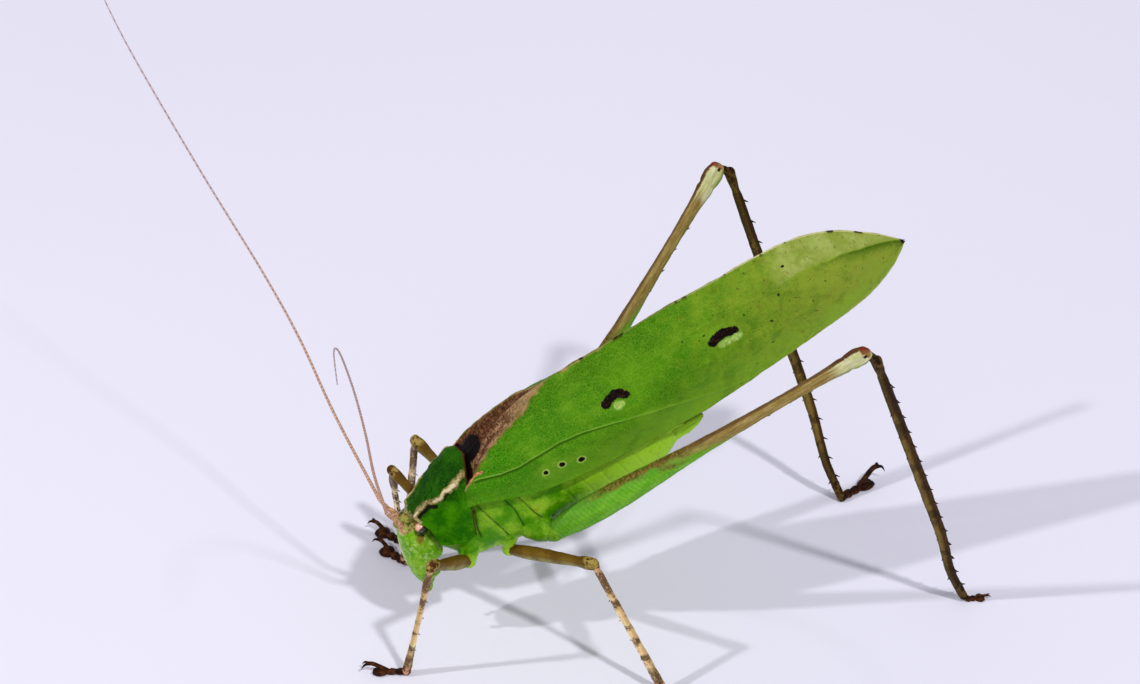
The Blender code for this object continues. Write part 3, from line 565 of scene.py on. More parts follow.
class Paint:
    """A procedural material, built from short calls. Its colour is what has been laid so far."""

    def __init__(self, name, roughness, **sockets):
        self.material = bpy.data.materials.new(name)
        self.material.use_nodes = True
        self.tree = self.material.node_tree
        self.shader = self.tree.nodes["Principled BSDF"]
        self.colour = None
        for label, value in {"Roughness": roughness, "Specular_IOR_Level": 0.06, **sockets}.items():
            self.shader.inputs[label.replace("_", " ")].default_value = value

    def plug(self, socket, value):
        if isinstance(value, bpy.types.NodeSocket):
            self.tree.links.new(value, socket)
        elif socket.type == "RGBA":
            socket.default_value = (*value, 1.0)
        else:
            socket.default_value = value

    def node(self, kind, inputs, **settings):
        node = self.tree.nodes.new("ShaderNode" + kind)
        for key, value in settings.items():
            setattr(node, key, value)
        for key, value in inputs.items():
            self.plug(node.inputs[key], value)
        return node

    def value(self, name):
        node = self.node("Attribute", {}, attribute_name=name)
        return node.outputs["Vector" if name == "place" else "Fac"]

    def stretch(self, vector, scale):
        return self.node("VectorMath", {0: vector, 1: scale}, operation="MULTIPLY").outputs["Vector"]

    def noise(self, vector, scale, detail=3.0, roughness=0.55, distortion=0.0):
        inputs = dict(Vector=vector, Scale=scale, Detail=detail, Roughness=roughness, Distortion=distortion)
        return self.node("TexNoise", inputs).outputs["Fac"]

    def cells(self, vector, scale, randomness=1.0):
        inputs = dict(Vector=vector, Scale=scale, Randomness=randomness)
        return self.node("TexVoronoi", inputs, feature="DISTANCE_TO_EDGE").outputs["Distance"]

    def math(self, operation, *values):
        total = values[0]
        for value in values[1:]:
            total = self.node("Math", {0: total, 1: value}, operation=operation).outputs[0]
        return total

    def times(self, *values):
        return self.math("MULTIPLY", *values)

    def plus(self, *values):
        return self.math("ADD", *values)

    def spread(self, value, amount, other):
        """value + (other - 0.5) * amount: a value made irregular by a noise."""
        return self.plus(value, self.times(self.math("SUBTRACT", other, 0.5), amount))

    def step(self, value, low, high):
        """0 below low, 1 above high, and smooth between; low may be the greater."""
        turned = low > high
        inputs = {"Value": value, "From Min": min(low, high), "From Max": max(low, high),
                  "To Min": float(turned), "To Max": float(not turned)}
        return self.node("MapRange", inputs, interpolation_type="SMOOTHSTEP").outputs[0]

    def mark(self, name, amount, noise, low, high):
        """A named value of the mesh, made irregular and stepped."""
        return self.step(self.spread(self.value(name), amount, noise), low, high)

    def mix(self, share, a, b):
        return self.node("Mix", {"Factor": share, 6: a, 7: b}, data_type="RGBA").outputs[2]

    def tone(self, value, low, high, first, second):
        """A colour that goes from one tone to another, in display values, as value rises."""
        return self.mix(self.step(value, low, high), srgb(*first), srgb(*second))

    def lay(self, share, *tone, strength=None):
        """Lays a tone over the colour where share is 1: three display values, or a ready colour."""
        if strength is not None:
            share = self.times(share, strength)
        self.colour = self.mix(share, self.colour, srgb(*tone) if len(tone) == 3 else tone[0])

    def finish(self, height, distance, strength, roughness=None):
        self.plug(self.shader.inputs["Base Color"], self.colour)
        if roughness is not None:
            self.plug(self.shader.inputs["Roughness"], roughness)
        bump = self.node("Bump", dict(Strength=strength, Distance=distance, Height=height))
        self.plug(self.shader.inputs["Normal"], bump.outputs["Normal"])
        return self.material


def skin_paint():
    """Head, trunk and coxae: fresh green, yellower below and on the face, dark in the seams; with painted
    shade round the eyes and on the hind coxae, and a painted highlight down the face.
    """
    p = Paint("katydid_skin", 0.42, Subsurface_Weight=0.12, Subsurface_Scale=0.0006,
              Subsurface_Radius=(0.6, 1.0, 0.2))
    place = p.value("place")
    soft = p.noise(place, 0.45, 4)
    fine = p.noise(place, 3.2, 4, 0.6)
    grain = p.cells(place, 5.5)
    p.colour = p.tone(p.spread(soft, 0.4, fine), 0.35, 0.7, (68, 138, 0), (116, 174, 6))
    p.lay(p.mark("yellow", 0.5, fine, 0.25, 0.85), 150, 200, 36)
    # pale: the head's own pale marks, and a painted highlight down the middle of the face
    p.lay(p.mark("pale", 0.7, fine, 0.35, 0.8), 196, 218, 120)
    vertex = p.tone(p.spread(fine, 0.5, soft), 0.36, 0.60, (58, 62, 14), (158, 140, 78))
    p.lay(p.mark("tan", 0.7, soft, 0.35, 0.7), vertex)
    p.lay(p.mark("pink", 0.7, fine, 0.35, 0.75), p.tone(fine, 0.40, 0.62, (176, 112, 76), (222, 184, 150)))
    p.lay(p.mark("brown", 0.8, fine, 0.45, 0.85), 118, 84, 30, strength=0.85)
    # dark seams, and painted shade on the hind coxae towards the thigh
    p.lay(p.mark("seam_and_shade", 0.5, fine, 0.35, 0.95), 22, 52, 12, strength=0.85)
    # painted shade: nearly black round the eyes
    p.lay(p.mark("dark", 0.6, fine, 0.45, 0.62), 18, 16, 10)
    light = p.times(p.step(p.noise(place, 1.5, 4, 0.7), 0.50, 0.66), p.step(p.value("front"), 0.2, 0.8))
    p.lay(light, 188, 212, 126, strength=0.6)
    p.lay(p.step(p.noise(place, 1.1, 5, 0.7, 0.4), 0.54, 0.68), 58, 118, 2, strength=0.4)
    p.lay(p.times(p.step(grain, 0.16, 0.04), p.step(soft, 0.4, 0.62)), 160, 196, 66, strength=0.5)
    height = p.plus(p.times(grain, 0.6), p.times(fine, 0.8))
    return p.finish(height, 0.00005, 0.5, p.step(p.spread(soft, 0.5, grain), -0.4, 1.6))


def pronotum_paint():
    """Dark green disc, cream keels with painted shade, nearly black, beneath them, bright lobes, brown
    margins.
    """
    p = Paint("katydid_pronotum", 0.5, Specular_IOR_Level=0.02)
    place = p.value("place")
    soft = p.noise(place, 0.6, 4)
    fine = p.noise(place, 3.0, 5, 0.65)
    pits = p.cells(place, 4.2)
    p.colour = p.tone(p.spread(soft, 0.6, fine), 0.4, 0.72, (8, 50, 0), (34, 88, 4))
    p.lay(p.step(pits, 0.1, 0.02), 50, 110, 12, strength=0.6)
    bright = p.tone(p.spread(soft, 0.5, fine), 0.35, 0.7, (30, 96, 0), (60, 126, 2))
    p.lay(p.mark("keel", 0.18, soft, 0.05, 0.22), bright)
    # painted shade: nearly black under the keels
    p.lay(p.mark("under", 0.75, soft, 0.42, 0.66), 22, 20, 10)
    ridge = p.spread(p.value("ridge"), 0.45, fine)
    p.lay(p.step(ridge, 0.20, 0.72), p.tone(fine, 0.42, 0.62, (126, 106, 58), (176, 160, 106)))
    p.lay(p.step(ridge, 0.66, 0.98), 212, 200, 156)
    p.lay(p.mark("front", 0.9, fine, 0.45, 0.8), p.tone(fine, 0.4, 0.65, (96, 92, 44), (172, 152, 104)))
    p.lay(p.mark("rear", 0.9, fine, 0.5, 0.78), 70, 46, 22)
    return p.finish(p.plus(p.times(pits, 0.8), fine), 0.00006, 0.6, p.step(fine, -0.5, 1.7))


def leaf_green(p, place, along, across, mottle, fine, net, small):
    """The cover's greens: yellower to the tip, with facet, netting, veins and rusty flecks; painted sheen,
    and painted light on the facet.
    """
    soft = p.noise(place, 0.16, 4)
    p.colour = p.tone(p.spread(soft, 0.5, mottle), 0.25, 0.85, (50, 112, 2), (88, 140, 12))
    p.lay(p.step(p.spread(along, 0.45, mottle), 0.38, 0.92), 140, 152, 40, strength=0.85)
    p.lay(p.step(p.spread(across, 0.12, mottle), 0.60, 0.98), 126, 170, 40, strength=0.55)
    p.lay(p.step(along, 0.24, 0.04), 34, 112, 0, strength=0.75)
    low_front = p.times(p.step(p.spread(across, 0.2, mottle), 0.62, 0.92), p.step(along, 0.35, 0.12))
    p.lay(low_front, 74, 146, 4, strength=0.25)
    crown_side = p.times(p.step(p.spread(across, 0.25, mottle), 0.42, 0.08), p.step(along, 0.60, 0.30))
    p.lay(crown_side, 46, 98, 0, strength=0.60)
    p.lay(p.step(along, 0.55, 0.95), 138, 150, 64, strength=0.35)
    p.lay(p.step(p.noise(place, 0.42, 3, 0.6, 0.6), 0.52, 0.68), 40, 92, 2, strength=0.36)
    # painted sheen: streaks of lighter, yellower green at random
    painted_sheen = p.step(p.noise(p.stretch(place, (1.0, 0.5, 1.0)), 0.34, 3, 0.5), 0.55, 0.72)
    p.lay(painted_sheen, 128, 172, 40, strength=0.35)
    # the facet above the fold: its own paler, creamier tone, and painted light where it faces up
    facet_tone = p.tone(mottle, 0.35, 0.7, (136, 148, 62), (174, 182, 104))
    p.lay(p.step(p.value("facet"), 0.2, 0.6), facet_tone, strength=0.8)
    p.lay(net, 124, 172, 44, strength=0.20)
    p.lay(p.step(small, 0.14, 0.03), 140, 180, 52, strength=0.20)
    p.lay(p.mark("shade", 0.5, fine, 0.3, 0.9), 44, 86, 2, strength=0.82)
    p.lay(p.mark("vein", 0.35, fine, 0.25, 0.85), 140, 182, 66, strength=0.70)
    rust = p.times(p.step(p.noise(place, 0.9, 5, 0.7), 0.56, 0.72), p.step(along, 0.35, 0.75))
    p.lay(rust, 112, 106, 30, strength=0.70)
    flecks = p.times(p.step(p.noise(place, 2.2, 2), 0.67, 0.73), p.step(along, 0.40, 0.65))
    p.lay(flecks, 66, 62, 16, strength=0.8)


def dorsal_field(p, place, along, mottle, fine):
    """The bark brown field behind the pronotum, with its black mark, crease and orange shoulder."""
    leaf = p.colour
    streak = p.noise(p.stretch(place, (1.0, 0.35, 1.0)), 1.3, 5, 0.65)
    p.colour = p.tone(p.spread(streak, 0.7, fine), 0.36, 0.66, (92, 54, 34), (164, 130, 92))
    p.lay(p.step(p.noise(place, 4.0, 3), 0.50, 0.64), 58, 28, 16)
    p.lay(p.step(along, 0.09, 0.17), 168, 142, 98, strength=0.5)
    rim_tone = p.tone(mottle, 0.4, 0.6, (116, 122, 40), (180, 148, 92))
    p.lay(p.mark("field", 1.2, streak, 0.70, 0.15), rim_tone, strength=0.6)
    umber_tone = p.tone(fine, 0.45, 0.64, (52, 26, 12), (120, 76, 46))
    p.lay(p.mark("umber", 1.1, streak, 0.25, 0.85), umber_tone, strength=0.85)
    p.lay(p.mark("black", 0.45, mottle, 0.42, 0.58), 16, 8, 8)
    p.colour = p.mix(p.mark("field", 1.0, mottle, -0.12, 0.14), leaf, p.colour)
    p.lay(p.mark("crease", 0.5, fine, 0.45, 0.8), 88, 66, 26, strength=0.35)
    p.lay(p.mark("orange", 0.7, fine, 0.4, 0.7), p.tone(fine, 0.4, 0.62, (140, 76, 34), (204, 142, 98)))


def tegmen_paint():
    """Leaf green, with veins, netted cells, a brown dorsal field, a pale margin and dark spots."""
    p = Paint("katydid_tegmen", 0.4, Specular_IOR_Level=0.03, Subsurface_Weight=0.08,
              Subsurface_Scale=0.0005)
    place, along, across = p.value("place"), p.value("along"), p.value("across")
    mottle = p.noise(place, 0.7, 5, 0.6)
    fine = p.noise(place, 3.4, 4, 0.65)
    net = p.step(p.cells(p.stretch(place, (1.0, 0.62, 1.0)), 1.7), 0.07, 0.015)
    small = p.cells(place, 3.3)
    leaf_green(p, place, along, across, mottle, fine, net, small)
    dorsal_field(p, place, along, mottle, fine)
    hem_tone = p.tone(along, 0.45, 0.75, (128, 134, 66), (204, 202, 148))
    p.lay(p.mark("margin", 0.4, fine, 0.4, 0.85), hem_tone, strength=0.85)
    dashes = p.step(p.noise(p.stretch(place, (1.0, 0.8, 0.2)), 1.0, 1), 0.56, 0.62)
    p.lay(p.times(p.value("dash"), dashes), 44, 30, 14)
    cream = p.tone(fine, 0.4, 0.62, (128, 170, 62), (184, 206, 116))
    p.lay(p.mark("pale", 0.6, mottle, 0.12, -0.2), cream, strength=0.9)
    spot = p.spread(p.value("spot"), 0.22, fine)
    p.lay(p.step(spot, 0.26, 0.10), 176, 200, 96, strength=0.6)
    p.lay(p.step(spot, 0.03, -0.05), 14, 8, 6)
    p.lay(p.mark("blotch", 0.5, fine, 0.06, -0.06), p.tone(fine, 0.5, 0.62, (14, 8, 8), (52, 30, 20)))
    p.lay(p.step(p.value("tip"), 0.35, 0.75), 30, 22, 12)
    height = p.plus(p.times(net, 0.5), p.plus(p.times(small, 0.5), p.times(fine, 0.7)))
    return p.finish(height, 0.00006, 0.6, p.step(p.spread(mottle, 0.5, fine), -0.5, 1.5))


def wing_paint():
    """Hind wing: pale and a little clear, darker in its pleats, netted."""
    p = Paint("katydid_hind_wing", 0.3, Transmission_Weight=0.15)
    place = p.value("place")
    net = p.cells(p.stretch(place, (1.0, 0.5, 1.0)), 1.6)
    p.colour = srgb(196, 206, 160)
    p.lay(p.step(p.value("fold"), 0.2, 0.8), 142, 160, 92, strength=0.7)
    p.lay(p.step(net, 0.06, 0.02), 118, 112, 66)
    return p.finish(p.plus(net, p.noise(place, 2.5, 4)), 0.00004, 0.5)


def eye_paint():
    """Pale pink with a darker rear, fine facets, and a clear gloss."""
    p = Paint("katydid_eye", 0.3, Specular_IOR_Level=0.4, Coat_Weight=1.0, Coat_Roughness=0.30,
              Coat_IOR=1.6)
    place = p.value("place")
    facets = p.cells(place, 9.0, 0.35)
    blur = p.noise(place, 1.3, 3)
    p.colour = p.tone(blur, 0.35, 0.65, (212, 130, 100), (242, 186, 158))
    p.lay(p.mark("dark", 0.20, blur, 0.54, 0.66), 26, 16, 12)
    p.lay(p.step(facets, 0.05, 0.01), 120, 70, 50, strength=0.35)
    return p.finish(facets, 0.00003, 0.5)


def horn_paint():
    """Antennae: pinkish tan, ringed, darker and greyer to the tip."""
    p = Paint("katydid_horn", 0.42)
    fine = p.noise(p.value("place"), 4.0, 3)
    rings = p.value("ring")
    p.colour = p.tone(fine, 0.35, 0.7, (190, 146, 122), (220, 182, 156))
    p.lay(p.step(p.value("along"), 0.0, 0.9), 190, 170, 172)
    p.lay(p.step(rings, 0.55, 0.9), 110, 76, 58, strength=0.55)
    p.lay(p.step(p.value("scape"), 0.4, 0.6), p.tone(fine, 0.4, 0.65, (168, 116, 78), (216, 178, 142)))
    return p.finish(p.plus(rings, fine), 0.00003, 0.6)


def thigh_paint():
    """Hind femur: swollen green base with painted shade to its edges, then tan with dark edges, and a pale
    knee with a red cap and a dark pit of painted shade.
    """
    p = Paint("katydid_thigh", 0.4, Subsurface_Weight=0.06, Subsurface_Scale=0.0005)
    place, along, depth = p.value("place"), p.value("along"), p.value("depth")
    soft = p.noise(p.stretch(place, (1.0, 1.0, 0.45)), 0.9, 4)
    fine = p.noise(place, 3.6, 4, 0.65)
    streaks = p.noise(p.stretch(place, (1.0, 1.0, 0.12)), 3.0, 4)
    edge = p.node("Math", {0: depth}, operation="ABSOLUTE").outputs[0]
    waves = p.node("Math", {0: p.plus(p.times(along, 460.0), p.times(edge, 6.0))}, operation="SINE")
    ribs = p.step(waves.outputs[0], -0.6, 0.9)

    p.colour = p.tone(p.spread(soft, 0.4, fine), 0.30, 0.75, (88, 160, 18), (122, 186, 48))
    p.lay(p.times(ribs, p.step(fine, 0.40, 0.62)), 158, 206, 96, strength=0.20)
    # painted shade: the green turns darker and bluer towards the upper and lower edges
    p.lay(p.step(edge, 0.35, 0.95), 78, 134, 46, strength=0.45)
    green = p.colour
    p.colour = p.tone(p.spread(streaks, 0.4, fine), 0.30, 0.75, (132, 108, 50), (172, 150, 90))
    p.lay(p.step(p.spread(depth, 0.5, soft), -0.10, -0.60), 116, 112, 40, strength=0.75)
    change = p.spread(p.spread(along, 0.10, soft), 0.12, depth)
    p.colour = p.mix(p.step(change, 0.38, 0.52), green, p.colour)
    middle = p.times(p.step(change, 0.30, 0.40), p.step(change, 0.60, 0.50), p.step(depth, -0.35, 0.35),
                     p.step(p.spread(soft, 0.6, fine), 0.36, 0.6))
    p.lay(middle, p.tone(fine, 0.38, 0.62, (64, 66, 20), (122, 122, 52)))
    top = p.spread(p.spread(depth, 0.30, fine), 0.35, soft)
    strip = p.times(p.step(top, 0.84, 0.98), p.step(along, 0.10, 0.22), p.step(along, 0.62, 0.42))
    p.lay(strip, p.tone(fine, 0.42, 0.60, (58, 52, 14), (136, 104, 44)), strength=0.85)
    edges = p.times(p.step(p.spread(depth, 0.2, fine), 0.84, 0.97), p.step(along, 0.40, 0.55))
    p.lay(edges, 84, 56, 34, strength=0.8)

    # the knee: pale, green below, a dark line above, a red brown end, and a dark pit of painted shade where
    # the tibia enters it
    shaft = p.colour
    p.colour = p.tone(p.spread(soft, 0.5, streaks), 0.35, 0.7, (186, 186, 118), (222, 220, 178))
    p.lay(p.step(p.spread(depth, 0.5, soft), -0.35, -0.75), 120, 150, 54)
    p.lay(p.step(p.spread(depth, 0.3, fine), 0.80, 0.94), 84, 54, 26)
    knee = p.step(p.spread(p.spread(along, 0.05, soft), 0.04, streaks), 0.885, 0.94)
    p.colour = p.mix(knee, shaft, p.colour)
    hinge = p.step(p.spread(along, 0.005, fine), 1.001, 1.004)
    p.lay(p.times(hinge, p.step(p.spread(edge, 0.2, fine), 0.52, 0.34)), 158, 116, 66)
    cap = p.step(p.spread(along, 0.006, fine), 0.996, 1.001)
    p.lay(p.times(cap, p.step(p.spread(depth, 0.4, soft), 0.30, 0.50)), 118, 44, 24, strength=0.9)
    # painted shade in the hollow where the tibia enters the knee
    pit = p.times(p.step(along, 0.992, 0.996), p.step(along, 1.007, 1.003), p.step(edge, 0.26, 0.14))
    p.lay(pit, 54, 18, 14)
    p.lay(p.step(p.value("spine"), 0.3, 0.7), 62, 42, 22)
    height = p.plus(streaks, p.plus(p.times(fine, 0.7), p.times(ribs, p.step(along, 0.5, 0.4))))
    return p.finish(height, 0.00005, 0.5, p.step(fine, -0.6, 1.6))


def leg_paint(name, upper, lower, dark, band_size, bands, knee):
    """Fore and mid legs and all tibiae: two tones, mottled with darker bands and ends."""
    p = Paint(name, 0.45)
    place, along, depth = p.value("place"), p.value("along"), p.value("depth")
    soft = p.noise(p.stretch(place, (1.0, 1.0, 0.6)), 1.1, 4)
    fine = p.noise(place, 4.0, 4, 0.65)
    streaks = p.noise(p.stretch(place, (1.0, 1.0, 0.15)), 3.4, 3)
    p.colour = p.tone(p.spread(depth, 0.9, streaks), -0.35, 0.35, lower, upper)
    blots = p.noise(p.stretch(place, (0.45, 0.45, 1.0)), band_size, 2, 0.5, 0.4)
    ragged = p.spread(along, 0.16, p.noise(place, 1.6, 3, 0.6))
    upper_band = p.times(p.step(ragged, 0.02, 0.07), p.step(ragged, 0.26, 0.19))
    end_bands = p.math("MAXIMUM", upper_band, p.step(ragged, 0.76, 0.86))
    banding = p.math("MAXIMUM", p.step(p.spread(blots, 0.35, fine), 0.46, 0.60), end_bands)
    p.lay(p.times(banding, bands, p.step(fine, 0.2, 0.5)), *dark)
    brighter = tuple(min(1.0, c * 1.8) for c in srgb(*upper))
    p.lay(p.step(soft, 0.55, 0.75), brighter, strength=0.5)
    edge = p.node("Math", {0: depth}, operation="ABSOLUTE").outputs[0]
    p.lay(p.step(p.spread(edge, 0.5, streaks), 0.62, 0.95), *dark, strength=0.34)
    ends = p.node("Math", {0: p.step(along, 0.05, 0.01), 1: p.step(along, 0.90, 0.96)},
                  operation="ADD", use_clamp=True).outputs[0]
    p.lay(ends, p.tone(p.noise(place, 1.7, 4, 0.6), 0.44, 0.58, knee, dark))
    p.lay(p.step(p.value("spine"), 0.3, 0.7), 48, 30, 18)
    return p.finish(p.plus(streaks, fine), 0.00004, 0.5, p.step(fine, -0.6, 1.6))


def foot_paint():
    """Feet: dark brown, with darker claws."""
    p = Paint("katydid_foot", 0.42)
    place = p.value("place")
    fine = p.noise(place, 4.5, 4, 0.65)
    p.colour = p.tone(p.spread(p.noise(place, 1.2, 3), 0.6, fine), 0.38, 0.72, (28, 12, 4), (84, 46, 20))
    p.lay(p.step(p.value("claw"), 0.3, 0.8), 28, 12, 4)
    return p.finish(fine, 0.00004, 0.6)


# ---------------------------------------------------------------- skin


def trunk_rings(form, rows, count, sides):
    """A closed tube through sections across the trunk."""
    ys = np.linspace(rows[0][0], rows[-1][0], count)
    low, wide, high, half_width = read_rows(rows, ys).T
    across, height = oval_ring(half_width, high - wide, wide - low, sides, TRUNK_POWER)
    form.grid(triples(across, ys[:, None], wide[:, None] + height), tube=True)


def level_rings(form, rows, count, sides):
    """A closed form through level sections, finer to its top."""
    low, top = rows[0][0], rows[-1][0]
    zs = low + (top - low) * np.sin(np.linspace(0, math.pi / 2, count))
    front, back, half_width = read_rows(rows, zs).T
    middle, half_depth = (front + back) / 2, (back - front) / 2
    across, height = oval_ring(half_width, half_depth, half_depth, sides, HEAD_POWER)
    form.grid(triples(across, middle[:, None] + height, zs[:, None]), tube=True)


def unit_ball(steps, margin):
    """Points on a ball of radius 1, open by margin radians at its poles."""
    polar = np.linspace(margin, math.pi - margin, steps)[:, None]
    turn = 2 * math.pi * np.arange(steps * 2)[None] / (steps * 2)
    return triples(np.sin(polar) * np.cos(turn), np.sin(polar) * np.sin(turn), np.cos(polar))


def limb_frame(start, end, outward):
    """A frame in millimetres at start, its +Z towards end and its +Y on the outer side of the bend."""
    along = (end - start).normalized()
    depth = (outward - along * outward.dot(along)).normalized()
    across = depth.cross(along)
    return Matrix.Translation(start) @ Matrix((across, depth, along)).transposed().to_4x4()


def limb_rings(profile, length, count, sides):
    """A limb's rings along +Z, with rounded ends, and each ring's share of the length."""
    shares = np.linspace(0, 1, count)
    sizes = read_rows(profile, shares)
    z, sizes = round_ends(shares * length, sizes, LIMB_TURNS, sizes[0, 0], sizes[-1, 0])
    half_width, half_depth = sizes.T
    across, depth = oval_ring(half_width, half_depth, half_depth, sides)
    return triples(across, depth, z[:, None]), np.clip(z / length, -0.05, 1.05)


def leg_places(name):
    """Root, hip, knee, shin and ankle of a leg in the stance frame, and the side its bend points to."""
    leg = LEGS[name]
    hip, knee, ankle = (Vector(leg[key]) for key in ("hip", "knee", "ankle"))
    shin = Vector(leg.get("shin", leg["knee"]))
    return TO_STANCE @ Vector(leg["root"]), hip, knee, shin, ankle, knee - (hip + ankle) / 2


def pronotum_grid(across=150, along=110):
    """The pronotum's outer face before its keels, grooves and rims are raised; also u and v at its points.
    """
    u = np.linspace(-1, 1, 2 * across + 1)
    v = np.linspace(0, 1, along)
    front = read_rows(PRONOTUM_FRONT, np.abs(u))
    rear = read_rows(PRONOTUM_REAR, np.abs(u))
    grid = front[None] + (rear - front)[None] * v[:, None, None]
    belly = np.sin(math.pi * v)[:, None] * np.maximum(0.0, (np.abs(u) - 0.3) / 0.7)[None]
    grid[..., 0] += LOBE_BULGE * belly
    grid[..., 2] -= LOBE_SAG * belly * np.abs(u)
    grid[..., 2] += DISC_CAMBER * np.sin(math.pi * v)[:, None] * ramp(np.abs(u), 0.62, 0.32)[None]
    grid[..., 0] *= np.sign(u)[None]
    return grid, *np.meshgrid(u, v)


def keel_line(v):
    """Where the keel lies across at each v: a wavy line."""
    return read_rows(KEEL, v)[..., 0] + 0.016 * np.sin(17 * v + 0.6) + 0.009 * np.sin(39 * v)


def make_pronotum():
    grid, u, v = pronotum_grid()
    away = np.abs(u) - keel_line(v.ravel()).reshape(v.shape)
    normals = grid_normals(grid)
    normals *= np.sign(normals[..., 2].mean())
    ridge = bell(away, 0.036)
    lift = KEEL_HEIGHT * ridge * (0.78 + 0.22 * np.sin(23 * v))
    lift -= 0.10 * bell(away - 0.06, 0.03)  # hollow under the keel
    lift -= 0.10 * bell(v - 0.42 - 0.05 * np.cos(u * 9), 0.018) * (np.abs(u) < 0.3)
    lift -= 0.06 * bell(v - 0.60 + 0.25 * u ** 2, 0.03) * (np.abs(u) > 0.33)
    lift -= 0.05 * bell(u, 0.012) * (v > 0.1)
    lift += 0.09 * (bell(v - 1.0, 0.025) + bell(v, 0.03) + bell(np.abs(u) - 1.0, 0.02))
    rear_drop = ramp(v, 0.86, 1) ** 2 * ramp(np.abs(u), 0.62, 0.47)
    lift -= rear_drop * (0.30 + 0.30 * bell(away, 0.10))
    lift += 0.035 * wobble(grid, 1.4, 5) + 0.015 * wobble(grid, 0.5, 6, 10)
    inner_reach = 0.045 + 0.05 * np.clip(0.5 - 0.9 * np.cos(9.5 * v + 0.9), 0, 1)
    inner_reach *= np.where(u < 0, 0.5, 1.0)
    ridge_mark = bell(away - 0.002, np.where(away < 0, inner_reach, 0.042))
    ridge_mark *= np.clip(0.94 + 0.2 * np.sin(9 * v + 2.2), 0.7, 1)
    rear = bell(v - 1.0, 0.05) * ramp(np.abs(u), 0.50, 0.7)
    rear = np.maximum(rear, 0.9 * bell(v - 1.0, 0.025) * (np.abs(u) < 0.7))
    front = bell(v, 0.06) * (np.abs(u) < 0.42)
    # painted shade under the keels' overhang
    under = bell(away - 0.072, 0.046) * ramp(v, 0.46, 0.34)
    under = np.maximum(under, 0.8 * bell(away - 0.055, 0.026) * bell(v - 0.60, 0.10))
    form = Form()
    outer = grid + normals * lift[..., None]
    form.shell(
        outer, outer - normals * PRONOTUM_THICKNESS, flip=True,
        place=grid, keel=away, ridge=ridge_mark, under=under, front=front, rear=rear,
    )
    form.piece("pronotum_cover", TRUNK, pronotum_paint(), "pronotum", "pronotum")


def make_skin():
    """Head, mouthparts, thorax, abdomen and coxae grown together as one surface."""
    form = Form()
    level_rings(form, HEAD, 60, 72)
    level_rings(form, JAWS, 24, 48)
    for centre, radii, paired in FACE_FORMS:
        for side in (1, -1) if paired else (1,):
            form.grid(unit_ball(24, 0.02) * radii + np.array(centre) * (side, 1, 1), tube=True)
    trunk_rings(form, THORAX, 60, 80)
    trunk_rings(form, ABDOMEN, 70, 80)
    trunk_rings(form, OVIPOSITOR, 30, 28)
    for side in (1, -1):
        mirror = np.array([side, 1, 1])
        path, radii = rounded(smooth_path(CERCUS, 16) * mirror, np.linspace(0.30, 0.16, 16))
        form.tube(path, radii, 16)
        knots = 0.24 + 0.05 * np.cos(np.linspace(0, 3 * 2 * math.pi, 24))
        path, radii = rounded(smooth_path(PALP, 24) * mirror, knots)
        form.tube(path, radii, 16, up=(1, 0, 0))
    for name in LEGS:
        root, hip, *_, outward = leg_places(name)
        grid, _ = limb_rings(COXA[name.split("_")[0]], (hip - root).length, 24, 36)
        form.grid(moved(grid, TO_TRUNK @ limb_frame(root, hip, outward)), tube=True)
    rough = add_object("skin", form.mesh("skin"))
    remesh = rough.modifiers.new("Remesh", "REMESH")
    remesh.mode = "VOXEL"
    remesh.voxel_size = SKIN_VOXEL
    smooth = rough.modifiers.new("Smooth", "SMOOTH")
    smooth.factor = 0.6
    smooth.iterations = 6
    bpy.context.view_layer.update()
    graph = bpy.context.evaluated_depsgraph_get()
    mesh = bpy.data.meshes.new_from_object(rough.evaluated_get(graph))
    bpy.data.objects.remove(rough)

    normals = read_vectors(mesh.vertex_normals, "vector")
    places = read_vectors(mesh.vertices, "co") + normals * SKIN_GROWTH
    lift, values = skin_details(places, normals)
    places = tuck_under(places + normals * lift[:, None])
    mesh.vertices.foreach_set("co", moved(places, TRUNK).astype(np.float32).ravel())
    for label, data in values.items():
        write_values(mesh, label, data)
    mesh.shade_smooth()
    mesh.update()
    flesh = ["head", "mouthparts", "palp_left", "palp_right", "thorax", "abdomen", "ovipositor",
             "cercus_left", "cercus_right"] + [f"coxa_{name}" for name in LEGS]
    add_piece("skin", mesh, skin_paint(), "skin", *flesh)


